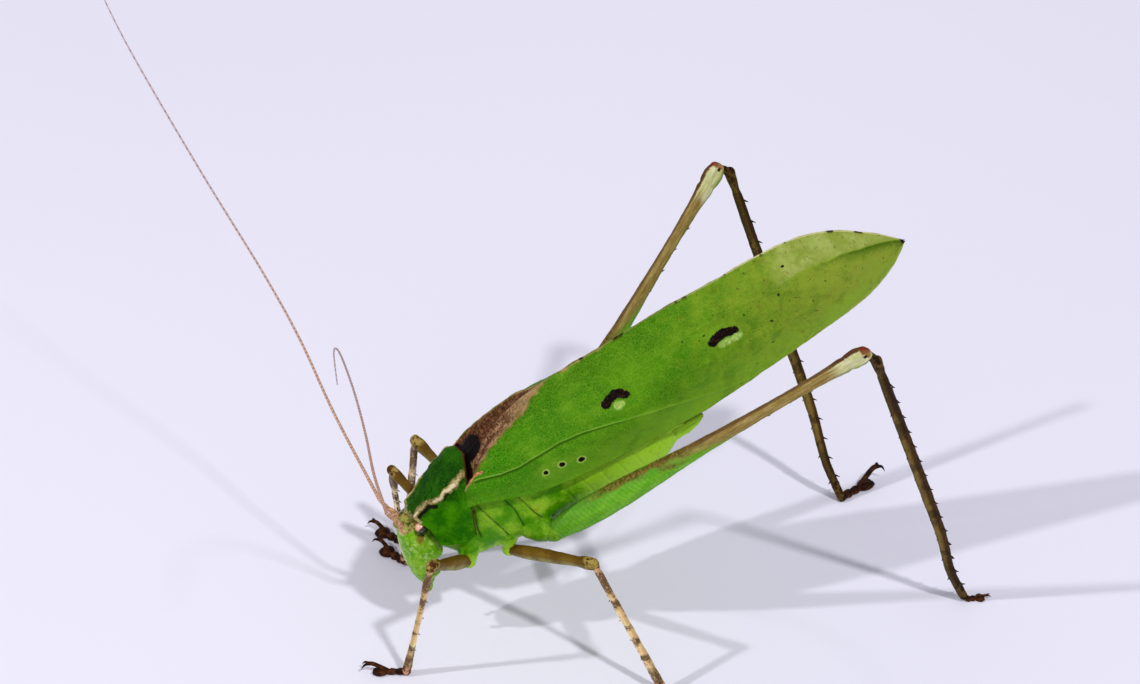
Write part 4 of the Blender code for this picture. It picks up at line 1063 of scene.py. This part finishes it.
def skin_details(places, normals):
    """How far each point of the skin is raised, and the values that its paint reads."""
    x, y, z = places.T
    side_on = np.abs(x)
    side_view = np.stack([y, z], -1)
    head = (y < -0.6) & (z > 0.2) & (y < -0.1 - 0.25 * (z - 6))
    face = head & (normals[:, 1] < -0.25)
    lift = np.zeros(len(x))
    seam_and_shade = np.zeros(len(x))

    def groove(distance, width, depth, where, strength=1.0):
        mark = bell(distance, width) * where
        np.add(lift, -depth * mark, out=lift)
        np.maximum(seam_and_shade, strength * mark, out=seam_and_shade)

    # face: the clypeus' and labrum's edges, the grooves beside the frons, and its low ridge
    groove(z - 3.72 + 0.1 * x ** 2, 0.09, 0.10, face * (side_on < 1.6), 0.75)
    groove(z - 2.95 + 0.05 * x ** 2, 0.08, 0.09, face * (side_on < 1.15), 0.75)
    groove(side_on - 1.45 - 0.09 * (z - 6), 0.09, 0.08, face * (z > 3.4) * (z < 8.8), 0.4)
    groove(side_on - 1.02, 0.06, 0.07, face * (z < 2.95) * (z > 1.7), 0.6)
    lift += 0.07 * bell(x, 0.25) * face * (z > 4.2) * (z < 9.4)
    # cheek: from the eye down to the jaw, and the mandible's hinge
    groove(line_distance(side_view, CHEEK_SEAM), 0.11, 0.10, head * (side_on > 1.4), 0.5)
    groove(line_distance(side_view, JAW_SEAM), 0.09, 0.10, (z < 3.6) * (side_on > 0.8) * head, 0.6)

    # flank plates of the thorax
    flank = (side_on > 2.2) * (y > 1.5) * (y < 13.5)
    coxae = np.full(len(x), 1e9)
    share = np.zeros(len(x))
    hind_coxa = np.zeros(len(x), bool)
    for name in LEGS:
        root, hip, *_ = leg_places(name)
        start, end = (np.array(TO_TRUNK @ point) for point in (root, hip))
        span = end - start
        s = (places - start) @ span / (span @ span)
        gap = np.linalg.norm(places - start - np.clip(s, 0, 1.1)[:, None] * span, axis=1)
        nearer = gap < coxae
        coxae[nearer] = gap[nearer]
        share[nearer] = s[nearer]
        hind_coxa[nearer] = name.startswith("hind")
        reach = (gap < 1.9) * (s > 0.45)
        groove((s - 0.80) * np.linalg.norm(span), 0.12, 0.12, reach, 0.45)
    leg = (coxae < 1.75) & (share > 0.35)
    for seam_line in FLANK_SEAMS:
        away = line_distance(side_view, seam_line)
        groove(away, 0.14, 0.16, flank * ~leg, 0.95)
        lift += 0.07 * bell(away - 0.35, 0.22) * flank * ~leg

    # rings of the abdomen, a fold along its side, and the ovipositor's two blades
    tail = y > 14.0
    for joint in ABDOMEN_JOINTS:
        groove(y - joint + 0.10 * (z - 4), 0.11, 0.10, tail * (y < 27.5), 0.28)
    groove(z - (4.9 - 0.16 * (y - 13)), 0.12, 0.08, tail * (side_on > 2) * (y < 26), 0.3)
    groove(z - (-0.3 + 0.03 * (y - 29)), 0.06, 0.08, (y > 28.4) * 1.0, 0.6)

    uneven = wobble(places, 1.7, 11)
    lift += 0.030 * uneven + 0.010 * wobble(places, 0.45, 12, 10) - 0.012 * uneven * head

    from_eye = np.stack([side_on, y, z], -1) - np.array(EYE_CENTRE)
    # painted shade, nearly black: along EYE_SHADE below and behind each eye, where the pronotum's lobe
    # shades the head, and a spot on the crown before each eye
    dark = bell(line_distance(side_view, EYE_SHADE), 0.46) * (y < 0.3) * (z > 8) * (side_on > 1.2)
    dark = np.maximum(dark, 0.9 * bell(np.hypot(side_on - 1.35, np.hypot(y + 2.5, z - 10.45)), 0.30))
    below = np.linalg.norm(from_eye - np.array([0.2, -0.75, -1.15]), axis=1)
    brown = np.maximum(bell(below, 1.05) * 0.95, 0.75 * ramp(y, 31.2, 32.2))
    brown = np.maximum(brown, 0.4 * ramp(z, 2.0, 0.8) * head)
    yellow = np.where(head, 0.42, 0.15)
    yellow = np.maximum(yellow, 0.85 * ramp(y, 13, 18) * (z < 8))
    yellow = np.where(leg, 0.25 + 0.65 * np.clip(share, 0, 1), yellow)
    yellow = np.maximum(yellow, 0.7 * ramp(z, 2.2, -0.3))
    # hind coxae: less yellow, and darkened towards the thigh with the seam colour as painted shade between
    # thigh and abdomen
    yellow = np.where(leg & hind_coxa, 0.15, yellow)
    seam_and_shade = np.where(leg & hind_coxa, np.maximum(seam_and_shade, 0.55 * ramp(share, 0.5, 0.9)), seam_and_shade)
    # painted highlight: a pale band down the middle of the face, along the edge that it shows from the side
    pale = bell(x, 0.62) * face * ramp(z, 3.4, 5) * ramp(z, 9.8, 8.2) * 0.85
    pale = np.maximum(pale, 0.38 * bell(side_on - 1.85 - 0.05 * (z - 6), 0.55) * face * (z > 3.0))
    pale = np.maximum(pale, 0.55 * bell(np.hypot(y + 3.0, z - 8.3), 0.7) * head)
    tan = head * np.clip((z - 9.35 - 0.25 * np.clip(side_on - 1.2, 0, 1)) / 0.45, 0, 1)
    pink = bell(np.linalg.norm(np.stack([side_on - 1.05, y + 3.45, z - 9.95], -1), axis=1), 0.75)
    flank_base = bell(np.hypot((y - 10.8) * 0.7, z - 4.6), 1.3) * (side_on > 2)
    brown = np.maximum(brown, 0.62 * flank_base)
    yellow = np.maximum(yellow, 0.8 * flank_base)
    values = dict(place=places, seam_and_shade=seam_and_shade, yellow=yellow, pale=pale, tan=tan, pink=pink, brown=brown,
                  dark=dark, front=head * ramp(z, 9.4, 8.6))
    return lift, values


def tuck_under(places):
    """Keeps the skin under the pronotum: points at or above its inner face are moved below it."""
    grid, _, _ = pronotum_grid(30, 24)
    rows, across = grid.shape[:2]
    index = np.arange(rows * across).reshape(rows, across)
    quads = np.stack([index[:-1, :-1], index[:-1, 1:], index[1:, 1:], index[1:, :-1]], -1).reshape(-1, 4)
    tree = BVHTree.FromPolygons(grid.reshape(-1, 3).tolist(), quads.tolist())
    core = Vector((0, 2.5, 6.0))
    near = np.where((places[:, 1] > -2.8) & (places[:, 1] < 8.5) & (places[:, 2] > 4.8))[0]
    for i in near:
        point = Vector(places[i])
        found, normal, _, gap = tree.find_nearest(point, 1.6)
        if found is None:
            continue
        if normal.dot(found - core) < 0:
            normal = -normal
        height = (point - found).dot(normal)
        level = abs(height) / gap if gap > 1e-6 else 1.0
        if height > -SHELL_DEPTH and level > 0.85:
            places[i] = point - normal * (height + SHELL_DEPTH)
    return places


# ---------------------------------------------------------------- wings


def tegmen_surface(ys, us):
    """The left cover's outer face over y and u."""
    lag, crown, x1, z1, x2, z2, x3, z3 = read_rows(TEGMEN, ys).T
    xs = hermite(TEGMEN_ACROSS, np.stack([np.full_like(crown, TEGMEN_EDGE), x1, x2, x3]), us)
    zs = hermite(TEGMEN_ACROSS, np.stack([crown, z1, z2, z3]), us)
    along = ys[None] + lag[None] * us[:, None]
    return np.stack([xs, along, zs], -1).transpose(1, 0, 2)


def pointed(grid, ys):
    """Draws the cover's last part together to a point."""
    close = (ramp(ys, POINT_START, ys[-1]) ** 2)[:, None, None]
    middle = grid[:, grid.shape[1] // 2][:, None]
    return grid + 0.92 * close * (middle - grid)


def vein_lines():
    """Veins of a cover in y and u: line, half width in mm, height in mm and strength of colour."""
    radius, median, sector = (np.array(line) for line in (RADIUS_VEIN, MEDIAN_VEIN, SECTOR_VEIN))
    lines = [(radius, 0.12, 0.15, 0.66), (median, 0.10, 0.06, 0.40), (sector, 0.11, 0.07, 0.42)]

    def across_at(line, y):
        return np.interp(y, line[:, 0], line[:, 1])

    draw = np.random.default_rng(4)
    steps = np.linspace(0, 1, 9)
    for y in np.arange(18.0, 58.0, 2.3):  # from the sector up to the crown
        lean = 3.2 + draw.random()
        up = across_at(sector, y) * (1 - steps) + 0.02
        lines.append((np.stack([y + lean * steps ** 1.3, up], -1), 0.08, 0.035, 0.30))
    for y in np.arange(10.0, 60.0, 1.9):  # down to the hem
        start = across_at(radius if y < 36 else median, y)
        lean = 2.4 + draw.random()
        down = start + (0.985 - start) * steps ** 0.9
        lines.append((np.stack([y + lean * steps, down], -1), 0.08, 0.035, 0.32))
    for first, last, gap, lean, start, end, strength in (
        (19.0, 57.0, 2.6, 2.2, sector, median, 0.28),
        (11.0, 37.0, 2.1, 2.4, radius, median, 0.26),
    ):  # between two of the long veins
        for y in np.arange(first, last, gap):
            ends = [(y, across_at(start, y)), (y + lean, across_at(end, y + lean))]
            lines.append((np.linspace(*np.array(ends), 7), 0.07, 0.03, strength))
    return lines


class FlatCover:
    """The left cover laid flat: y, and the distance down its face from the crown, in millimetres."""

    def __init__(self, grid, ys, us):
        self.ys, self.us = ys, us
        steps = np.linalg.norm(np.diff(grid, axis=1), axis=2)
        self.arc = np.concatenate([np.zeros((len(ys), 1)), np.cumsum(steps, axis=1)], 1)
        self.points = np.stack([np.broadcast_to(ys[:, None], self.arc.shape), self.arc], -1).reshape(-1, 2)
        self.y, self.from_crown = self.points.T
        self.from_hem = np.repeat(self.arc[:, -1], len(us)) - self.from_crown

    def placed(self, points):
        """Points of y and share across, as places on the flat cover."""
        points = np.atleast_2d(points)
        row = np.clip(np.searchsorted(self.ys, points[:, 0]), 0, len(self.ys) - 1)
        reach = np.array([np.interp(u, self.us, self.arc[i]) for u, i in zip(points[:, 1], row)])
        return np.stack([points[:, 0], reach], -1)

    def above(self, line):
        """How far each point lies on the crown's side of a placed line."""
        return np.interp(self.y, *line.T) - self.from_crown

    def outside(self, marks, blend=0.12):
        """Distance from the edge of round marks, below 0 inside; near ones run together."""
        total = np.full(len(self.points), math.exp(-1.0 / blend))
        for y, u, size in marks:
            centre = self.placed([(y, u)])[0]
            total += np.exp(-(np.hypot(*(self.points - centre).T) - size) / blend)
        return -blend * np.log(total)


def cover_veins(cover):
    """Each point's share of vein colour, and how far the veins raise it."""
    flat = cover.points
    vein, lift = np.zeros((2, len(flat)))
    for line, width, height, strength in vein_lines():
        path = cover.placed(line)
        if len(path) > 9:
            keys, finer = np.linspace(0, 1, len(path)), np.linspace(0, 1, 60)
            path = np.stack([np.interp(finer, keys, column) for column in path.T], -1)
        low, high = path.min(0) - 0.8, path.max(0) + 0.8
        near = np.where(((flat > low) & (flat < high)).all(1))[0]
        mark = bell(line_distance(flat[near], path), width)
        vein[near] = np.maximum(vein[near], strength * mark)
        lift[near] = np.maximum(lift[near], height * mark)
    return vein, lift


def dorsal_area(cover, crease, crease_gap):
    """How far each point lies inside the dorsal field: within the crease, in front of its end."""
    y, from_crown = cover.y, cover.from_crown
    field = np.where(y < CREASE[-1][0], cover.above(crease), -1.0)
    field = np.clip(np.sign(field) * np.minimum(np.abs(field), crease_gap), -1, 4)
    ribbon = 0.16 - from_crown  # the dark crown edge behind the field
    return np.where((y > 17) & (y < 27), np.maximum(field, ribbon), field)


def cover_marks(cover, grid):
    """What both covers' paint reads, how far each point is raised, and the sheet's thickness there."""
    flat, y, from_crown, from_hem = cover.points, cover.y, cover.from_crown, cover.from_hem
    vein, lift = cover_veins(cover)
    gap = line_distance(flat - np.array([0, 0.21]), cover.placed(RADIUS_VEIN))
    shade = 1.3 * bell(gap, 0.15) * ramp(y, 31, 17)
    fold = cover.placed([row for row in SECTOR_VEIN if row[0] > FOLD_START])
    fold_gap, above_fold = line_distance(flat, fold), cover.above(fold)
    fold_shade = 0.9 * np.exp(-fold_gap / np.where(above_fold < 0, 1.4, 0.12))
    shade = np.maximum(shade, fold_shade * ramp(y, 46, 57))
    crease = cover.placed(CREASE)
    crease_gap = line_distance(flat, crease)
    field = dorsal_area(cover, crease, crease_gap)
    spot, blotch = cover.outside(ROUND_SPOTS), cover.outside(BLOTCHES + SPECKS)

    rear = ramp(y, 20, 24)
    margin = np.maximum(bell(from_crown, 0.13) * rear, 0.7 * bell(from_hem, 0.13) * ramp(y, 14, 20))
    marks = dict(
        vein=vein, shade=shade, field=field, spot=spot, blotch=blotch,
        pale=cover.outside(PALE_PATCHES),
        orange=bell(line_distance(flat, cover.placed(ORANGE_SHOULDER)), 0.19),
        margin=np.maximum(margin, 0.55 * bell(from_hem, 0.7) * ramp(y, 48, 53)),
        dash=bell(from_crown - 0.02, 0.20) * rear,
        # facet: its own paler tone, and painted light where it faces up
        facet=np.clip(above_fold / 0.5, 0, 1) * ramp(y, 45, 52),
        tip=ramp(y, POINT_START, 62) * ramp(from_crown, 1.25, 0.65),
        along=(y - LEAF_FRONT) / LEAF_LENGTH,
        crease=bell(crease_gap, 0.16) * (y < 19.5),
    )

    lift += (0.05 * wobble(grid, 3.2, 21) + 0.02 * wobble(grid, 1.1, 22)).ravel()
    lift += (0.24 * bell(field - 0.05, 0.38) - 0.12 * np.clip(field, 0, 1)) * ramp(y, 19.5, 16.5)
    lift -= 0.08 * bell(fold_gap, 0.24) * ramp(y, 46, 54)
    lift -= 0.05 * np.clip(-spot * 4, 0, 1) + 0.04 * np.clip(-blotch * 3, 0, 1)
    lift += 0.05 * np.maximum(bell(from_crown, 0.2), bell(from_hem, 0.22))
    near_tip = np.clip((cover.ys[-1] - y) / 3.0, 0, 1)
    thick = 0.06 + near_tip * (0.04 + 0.18 * np.clip(np.minimum(from_crown, from_hem) / 1.2, 0, 1))
    return marks, lift * near_tip, thick


def make_tegmina():
    """Both wing covers, each as a closed thin shell with raised veins and its marks."""
    ys = np.linspace(TEGMEN[0][0], TEGMEN[-1][0], TEGMEN_ROWS)
    us = np.linspace(0, 1, TEGMEN_COLUMNS)
    grid = tegmen_surface(ys, us)
    shape = grid.shape[:2]
    cover = FlatCover(grid, ys, us)
    marks, lift, thick = cover_marks(cover, grid)
    outward = grid_normals(grid)
    outward *= np.sign((outward * (grid - np.array(TEGMEN_INSIDE))).sum())
    outer = grid + outward * lift.reshape(shape)[..., None]
    inner = outer - outward * thick.reshape(shape)[..., None]
    inner[..., 0] = np.maximum(inner[..., 0], TEGMEN_INNER_EDGE)

    # how the two differ: the left cover lies on the right one's dorsal field
    y, from_crown, field = cover.y, cover.from_crown, marks["field"]
    sunk = triples(0, 0, OVERLAP * bell(ys - 13.5, 4.5)[:, None] * ramp(us, 0.75, 0.4))
    left_umber = ramp(field, 1.5, 3) * ramp(y, 15.5, 11.5)
    covers = (("left", 1, 0.0, left_umber, 1.8), ("right", -1, sunk, np.clip(field / 0.4, 0, 1), 2.9))
    rear_border = 0.70 * bell(y - 7.1, 0.75) * (from_crown < 3.6)
    paint = tegmen_paint()
    for label, side, drop, umber, reach in covers:
        black = bell(np.hypot((y - 8.3) / 1.6, np.maximum(0, from_crown - 0.2) / reach), 1.0)
        values = dict(marks, umber=umber, black=np.maximum(black, rear_border))
        sheets = (pointed(sheet - drop, ys) * (side, 1, 1) for sheet in (outer, inner))
        form = Form()
        form.shell(
            *sheets, flip=side < 0, place=grid, across=us[None],
            **{key: data.reshape(shape) for key, data in values.items()},
        )
        form.piece(f"wing_cover_{label}", TRUNK, paint, "leaf", f"tegmen_{label}")


def make_hind_wings():
    """The folded wings under the covers: narrow bundles of pleats."""
    paint = wing_paint()
    ys = np.linspace(HIND_WING[0][0], HIND_WING[-1][0], 120)
    low, wide, high, half = read_rows(HIND_WING, ys).T
    sides = 72
    across, height = oval_ring(half, high - wide, wide - low, sides)
    angle = 2 * math.pi * (np.arange(sides) + 0.5) / sides
    folds = np.cos(angle * 9)[None]
    for label, side in SIDES:
        grid = triples((HIND_WING_CENTRE + across * (1 + 0.10 * folds)) * side, ys[:, None],
                       wide[:, None] + height * (1 + 0.03 * folds))
        form = Form()
        form.grid(grid, tube=True, flip=side > 0, place=grid, fold=folds * 0.5 + 0.5)
        form.piece(f"folded_wing_{label}", TRUNK, paint, "membrane", f"hind_wing_{label}")


# ---------------------------------------------------------------- head parts


def make_eyes():
    """A ball a little swollen to its outer side, with a darker rear."""
    paint = eye_paint()
    globe = unit_ball(48, 0.015)
    for label, side in SIDES:
        swell = 1 + 0.035 * np.clip(globe[..., :1] * side, 0, 1)
        grid = globe * swell * EYE_RADII + np.array(EYE_CENTRE) * (side, 1, 1)
        dark = np.clip(0.5 + 0.5 * (globe @ (0.59 * side, 0.20, -0.78)), 0, 1)
        form = Form()
        form.grid(grid, tube=True, flip=True, place=grid, dark=dark)
        form.piece(f"compound_eye_{label}", TRUNK, paint, "eye", f"eye_{label}")


def make_antennae():
    """A thick scape and pedicel, then a long ringed thread that thins to its tip."""
    paint = horn_paint()
    for label, antenna in ANTENNAE.items():
        base = TO_STANCE @ Vector(antenna["base"])
        along = (TO_STANCE.to_3x3() @ Vector(antenna["scape"])).normalized()
        tip = base + along * SCAPE_LENGTH
        share = np.linspace(SCAPE_RADII[0][0], SCAPE_RADII[-1][0], 60)
        path = np.array(base) + np.array(tip - base) * share[:, None]
        radii = np.interp(share, *zip(*SCAPE_RADII))
        path, radii = rounded(path, radii)
        form = Form()
        form.tube(path, radii, 28, up=(0, 1, 0), ring=0.0, along=0.0, scape=1.0)
        form.piece(f"antenna_base_{label}", STANCE, paint, "horn", f"scape_{label}")

        path = smooth_path([tuple(tip)] + antenna["bends"], 900)
        travelled = np.concatenate([[0], np.cumsum(np.linalg.norm(np.diff(path, axis=0), axis=1))])
        share = travelled / travelled[-1]
        ring = 0.5 + 0.5 * np.cos(2 * math.pi * travelled / (0.34 + 0.25 * share))
        radii = np.interp(share, *zip(*THREAD_RADII))
        path, radii = rounded(path, radii * (1 - 0.10 * ring))
        ring = np.pad(ring, len(TUBE_TURNS))[:, None]
        share = np.pad(share, len(TUBE_TURNS), mode="edge")[:, None]
        form = Form()
        form.tube(path, radii, 12, up=(1, 0, 0), scape=0.0, ring=ring, along=share)
        form.piece(f"antenna_{label}", STANCE, paint, "horn", *(f"flagellum_{label}_{k}" for k in (1, 2, 3)))


# ---------------------------------------------------------------- legs


def spine(form, start, direction, length, radius):
    """A curved, pointed spine."""
    s = np.linspace(0, 1, 7)
    direction = direction / np.linalg.norm(direction)
    bend = np.array([0, 0, 1.0]) * 0.18 * length
    path = start + direction * length * s[:, None] + bend * (s ** 2)[:, None]
    radii = radius * (1 - s) ** 0.7 + 0.012
    side = (1, 0, 0) if abs(direction[0]) < 0.8 else (0, 1, 0)
    form.tube(path, radii, 8, up=side, along=0.5, depth=0.0, spine=1.0)


def leg_segment(name, node, matrix, profile, length, count, paint, slot, detail, spines,
                neck=None, bow=0.0):
    """One smooth segment with its spines, in the place of a leg's CAD node."""
    grid, share = limb_rings(profile, length, count, 40)
    share = np.broadcast_to(share[:, None], grid.shape[:2])
    depth = grid[..., 1] / np.maximum(np.abs(grid[..., 1]).max(1, keepdims=True), 1e-6)
    normals = -grid_normals(np.concatenate([grid, grid[:, :1]], 1))[:, :-1]
    outward = normals * np.sign((normals[..., :2] * grid[..., :2]).sum(-1, keepdims=True) + 1e-12)
    lift = 0.018 * wobble(grid, 0.9, 31) + 0.006 * wobble(grid, 0.3, 32) + detail(grid, share, depth)
    taper = np.clip(np.minimum(share + 0.05, 1.05 - share) / 0.02, 0, 1)
    grid = grid + outward * (lift * taper)[..., None]

    def bent(points):
        """Points with the segment's lower part bowed to the inner side."""
        points = np.array(points, float)
        points[..., 1] -= bow * bell(points[..., 2] / length - 0.88, 0.11)
        return points

    grid = bent(grid)
    form = Form()
    form.grid(grid, tube=True, place=grid, along=share, depth=depth, spine=0.0)
    if neck is not None:
        path, radii = rounded(smooth_path(neck, 20), np.linspace(0.50, 0.48, 20))
        form.tube(path, radii, 24, up=(1, 0, 0), along=0.02, depth=0.3, spine=0.0)
    for start, direction, size, radius in spines:
        spine(form, bent(start), np.array(direction), size, radius)
    form.piece(name, STANCE @ matrix, paint, slot, node)


def thigh_detail(grid, share, depth):
    """Furrows along the thin half, and the two lobes of the knee."""
    thin = ramp(share, 0.42, 0.54) * ramp(share, 0.93, 0.9)
    side = np.abs(grid[..., 0]) > 0.25
    lift = -0.10 * bell(depth - 0.12, 0.22) * thin * side
    knee = ramp(share, 0.955, 0.975)
    lift -= 0.22 * bell(depth, 0.22) * knee * side
    lift -= 0.12 * bell(share - 0.945, 0.008)
    base = ramp(share, 0.40, 0.3) * ramp(share, 0.03, 0.08)
    return lift - 0.10 * bell(depth - 0.55, 0.10) * base * side


def slim_detail(grid, share, depth):
    """A furrow along each side, and a groove behind the knee."""
    side = np.abs(grid[..., 0]) > 0.15
    body = ramp(share, 0.06, 0.12) * ramp(share, 0.94, 0.9)
    return -0.055 * bell(depth, 0.25) * body * side - 0.08 * bell(share - 0.05, 0.012)


def ear_detail(grid, share, depth):
    """The fore tibia's hearing organ: an oval pit on each side near the knee."""
    pit = bell((share - 0.155) / 0.045, 1.0) * bell(depth / 0.45, 1.0) * (np.abs(grid[..., 0]) > 0.2)
    return slim_detail(grid, share, depth) * (share > 0.25) - 0.16 * pit


def knee_neck(knee, shin, ankle, outward):
    """The bent neck by which a hind tibia hangs in the knee, in the tibia's frame."""
    into = limb_frame(shin, ankle, outward).inverted()
    along = (ankle - shin).normalized()
    points = (knee + (shin - knee) * 0.25, shin * 0.7 + knee * 0.3, shin + along * 0.5, shin + along * 1.6)
    return [tuple(into @ point) for point in points]


def tibia_spines(kind, length):
    """Paired spines down a tibia and two spurs at its end: start, direction, length and radius of each."""
    spines = []
    rows = HIND_SPINES if kind == "hind" else SLIM_SPINES
    for count, first, span, stagger, (x, y), (out, rise, down), size, radius in rows:
        for i in range(count):
            for side in (-1, 1):
                t = first + span * (i + stagger * side) / (count - 1)
                spines.append(((side * x, y, t * length), (side * out, rise, down), size, radius))
    for side in (-1, 1):  # spurs at the end
        spines.append(((side * 0.3, -0.1, 0.985 * length), (side * 0.5, -0.3, 0.8), 0.42, 0.09))
    return spines


def thigh_spines(length):
    """A row of spines under the thin half of a hind femur."""
    return [((0.05 * (-1) ** i, -0.62, (0.48 + 0.40 * i / 6) * length), (0.0, -0.75, 0.65), 0.55, 0.14)
            for i in range(7)]


def make_foot(name, paint):
    """Four joints with grooves between them, lobed soles, and a pair of curved claws."""
    leg = LEGS[name]
    scale, lift, girth = leg["foot"], leg["lift"], leg.get("girth", 1.0)
    rows = [(x, leg["ankle"][2] / scale if z is None else z, w * girth, h * girth) for x, z, w, h in TARSUS]
    xs = np.linspace(rows[0][0], rows[-1][0], 90)
    middle, *sizes = read_rows(rows, xs).T
    xs, sizes = round_ends(xs, np.stack(sizes, -1), FOOT_TURNS, 0.46, 0.3)
    middle = np.pad(middle, len(FOOT_TURNS), mode="edge")
    half_width, half_height = sizes.T
    across, height = oval_ring(half_width, half_height, half_height, 32)
    grid = triples(xs[:, None], across, middle[:, None] + height)
    grid[..., 2] -= 0.10 * bell(across, 0.10) * (height > 0) * (xs[:, None] > 2.4)
    form = Form()
    grid = grid * scale
    grid[..., 2] = np.maximum(grid[..., 2], 0.0)
    form.grid(grid, tube=True, flip=True, place=grid, claw=0.0)
    start = CLAW_STALK[0][2]

    def placed(points):
        return np.array([(x, y, start + (z - start) * lift) for x, y, z in points]) * scale

    stalk = rounded(smooth_path(placed(CLAW_STALK), 24), np.linspace(0.30, 0.27, 24) * scale)
    form.tube(*stalk, 16, claw=0.3)
    for side in (-1, 1):
        path = smooth_path(placed([(x, y * side, z) for x, y, z in CLAW]), 22)
        radii = np.interp(np.linspace(0, 1, 22), [0, 0.5, 1], [0.22, 0.15, 0.02]) * scale
        form.tube(path, radii, 14, claw=1.0)
    heading = math.radians(leg["heading"])
    place = Matrix.Translation((*leg["ankle"][:2], 0.0)) @ Matrix.Rotation(heading, 4, "Z")
    form.piece(f"foot_{name}", STANCE @ place, paint, "foot", f"tarsus_{name}")


def make_legs():
    """Thigh, shin and foot of each leg; the coxae belong to the skin."""
    thigh = thigh_paint()
    upper = leg_paint("katydid_femur", (118, 92, 26), (146, 142, 88), (72, 38, 10), 0.42, 0.45,
                      (160, 138, 68))
    shin = leg_paint("katydid_tibia", (240, 204, 144), (250, 230, 190), (66, 28, 10), 0.62, 0.86,
                     (198, 150, 112))
    long_shin = leg_paint("katydid_hind_tibia", (66, 42, 8), (122, 100, 44), (34, 18, 4), 0.30, 0.70,
                          (86, 64, 24))
    feet = foot_paint()
    for name in LEGS:
        kind = name.split("_")[0]
        _, hip, knee, shin_start, ankle, outward = leg_places(name)
        femur_length, tibia_length = (knee - hip).length, (ankle - shin_start).length
        hind = kind == "hind"
        leg_segment(
            f"thigh_{name}", f"femur_{name}", limb_frame(hip, knee, outward), FEMUR[kind], femur_length,
            240 if hind else 90, thigh if hind else upper, "thigh" if hind else "leg",
            thigh_detail if hind else slim_detail, thigh_spines(femur_length) if hind else (),
        )
        leg_segment(
            f"shin_{name}", f"tibia_{name}", limb_frame(shin_start, ankle, outward), TIBIA[kind],
            tibia_length, 220 if hind else 110, long_shin if hind else shin, "leg",
            ear_detail if kind == "fore" else slim_detail, tibia_spines(kind, tibia_length),
            knee_neck(knee, shin_start, ankle, outward) if hind else None, HIND_TIBIA_BOW if hind else 0.0,
        )
        make_foot(name, feet)


# ---------------------------------------------------------------- stage


def make_stage():
    """A pale floor, one light from the left side, one from the head, a broad fill, and the camera."""
    p = Paint("floor_paper", 0.85)
    coordinates = p.tree.nodes.new("ShaderNodeTexCoord").outputs["Object"]
    grain = p.noise(coordinates, 900.0, 3)
    clouds = p.step(p.noise(coordinates, 3.0, 2), 0.3, 0.7)
    p.colour = p.mix(clouds, *FLOOR_TONES)
    paper = p.finish(grain, 0.00002, 0.15)
    bm = bmesh.new()
    bmesh.ops.create_grid(bm, x_segments=8, y_segments=8, size=FLOOR_REACH)
    mesh = bpy.data.meshes.new("floor")
    bm.to_mesh(mesh)
    bm.free()
    floor = add_object("floor", mesh)
    mesh.materials.append(paper)

    scene = bpy.context.scene
    scene.world = bpy.data.worlds.new("studio")
    scene.world.use_nodes = True
    sky = scene.world.node_tree.nodes["Background"]
    sky.inputs["Color"].default_value = SKY_COLOUR
    sky.inputs["Strength"].default_value = SKY_STRENGTH
    for name, (direction, distance, size, power) in LAMPS.items():
        light = bpy.data.lights.new(name, "AREA")
        light.shape = "DISK"
        light.size = size
        light.energy = power
        holder = add_object(name, light)
        holder.location = STANCE @ Vector(LIT_PLACE) + Vector(direction).normalized() * distance
        holder.rotation_euler = (-Vector(direction)).to_track_quat("-Z", "Y").to_euler()

    camera = add_object("camera", bpy.data.cameras.new("camera"))
    camera.location = STANCE @ Vector(CAMERA_PLACE)
    look = (STANCE @ Vector(CAMERA_TARGET)) - camera.location
    camera.rotation_euler = look.to_track_quat("-Z", "Y").to_euler()
    camera.data.lens = CAMERA_LENS
    camera.data.sensor_width = CAMERA_SENSOR
    camera.data.clip_start = 0.01
    camera.data.clip_end = 20.0
    scene.camera = camera
    scene.view_settings.view_transform = "Standard"


make_pronotum()
make_skin()
make_tegmina()
make_hind_wings()
make_eyes()
make_antennae()
make_legs()
make_stage()
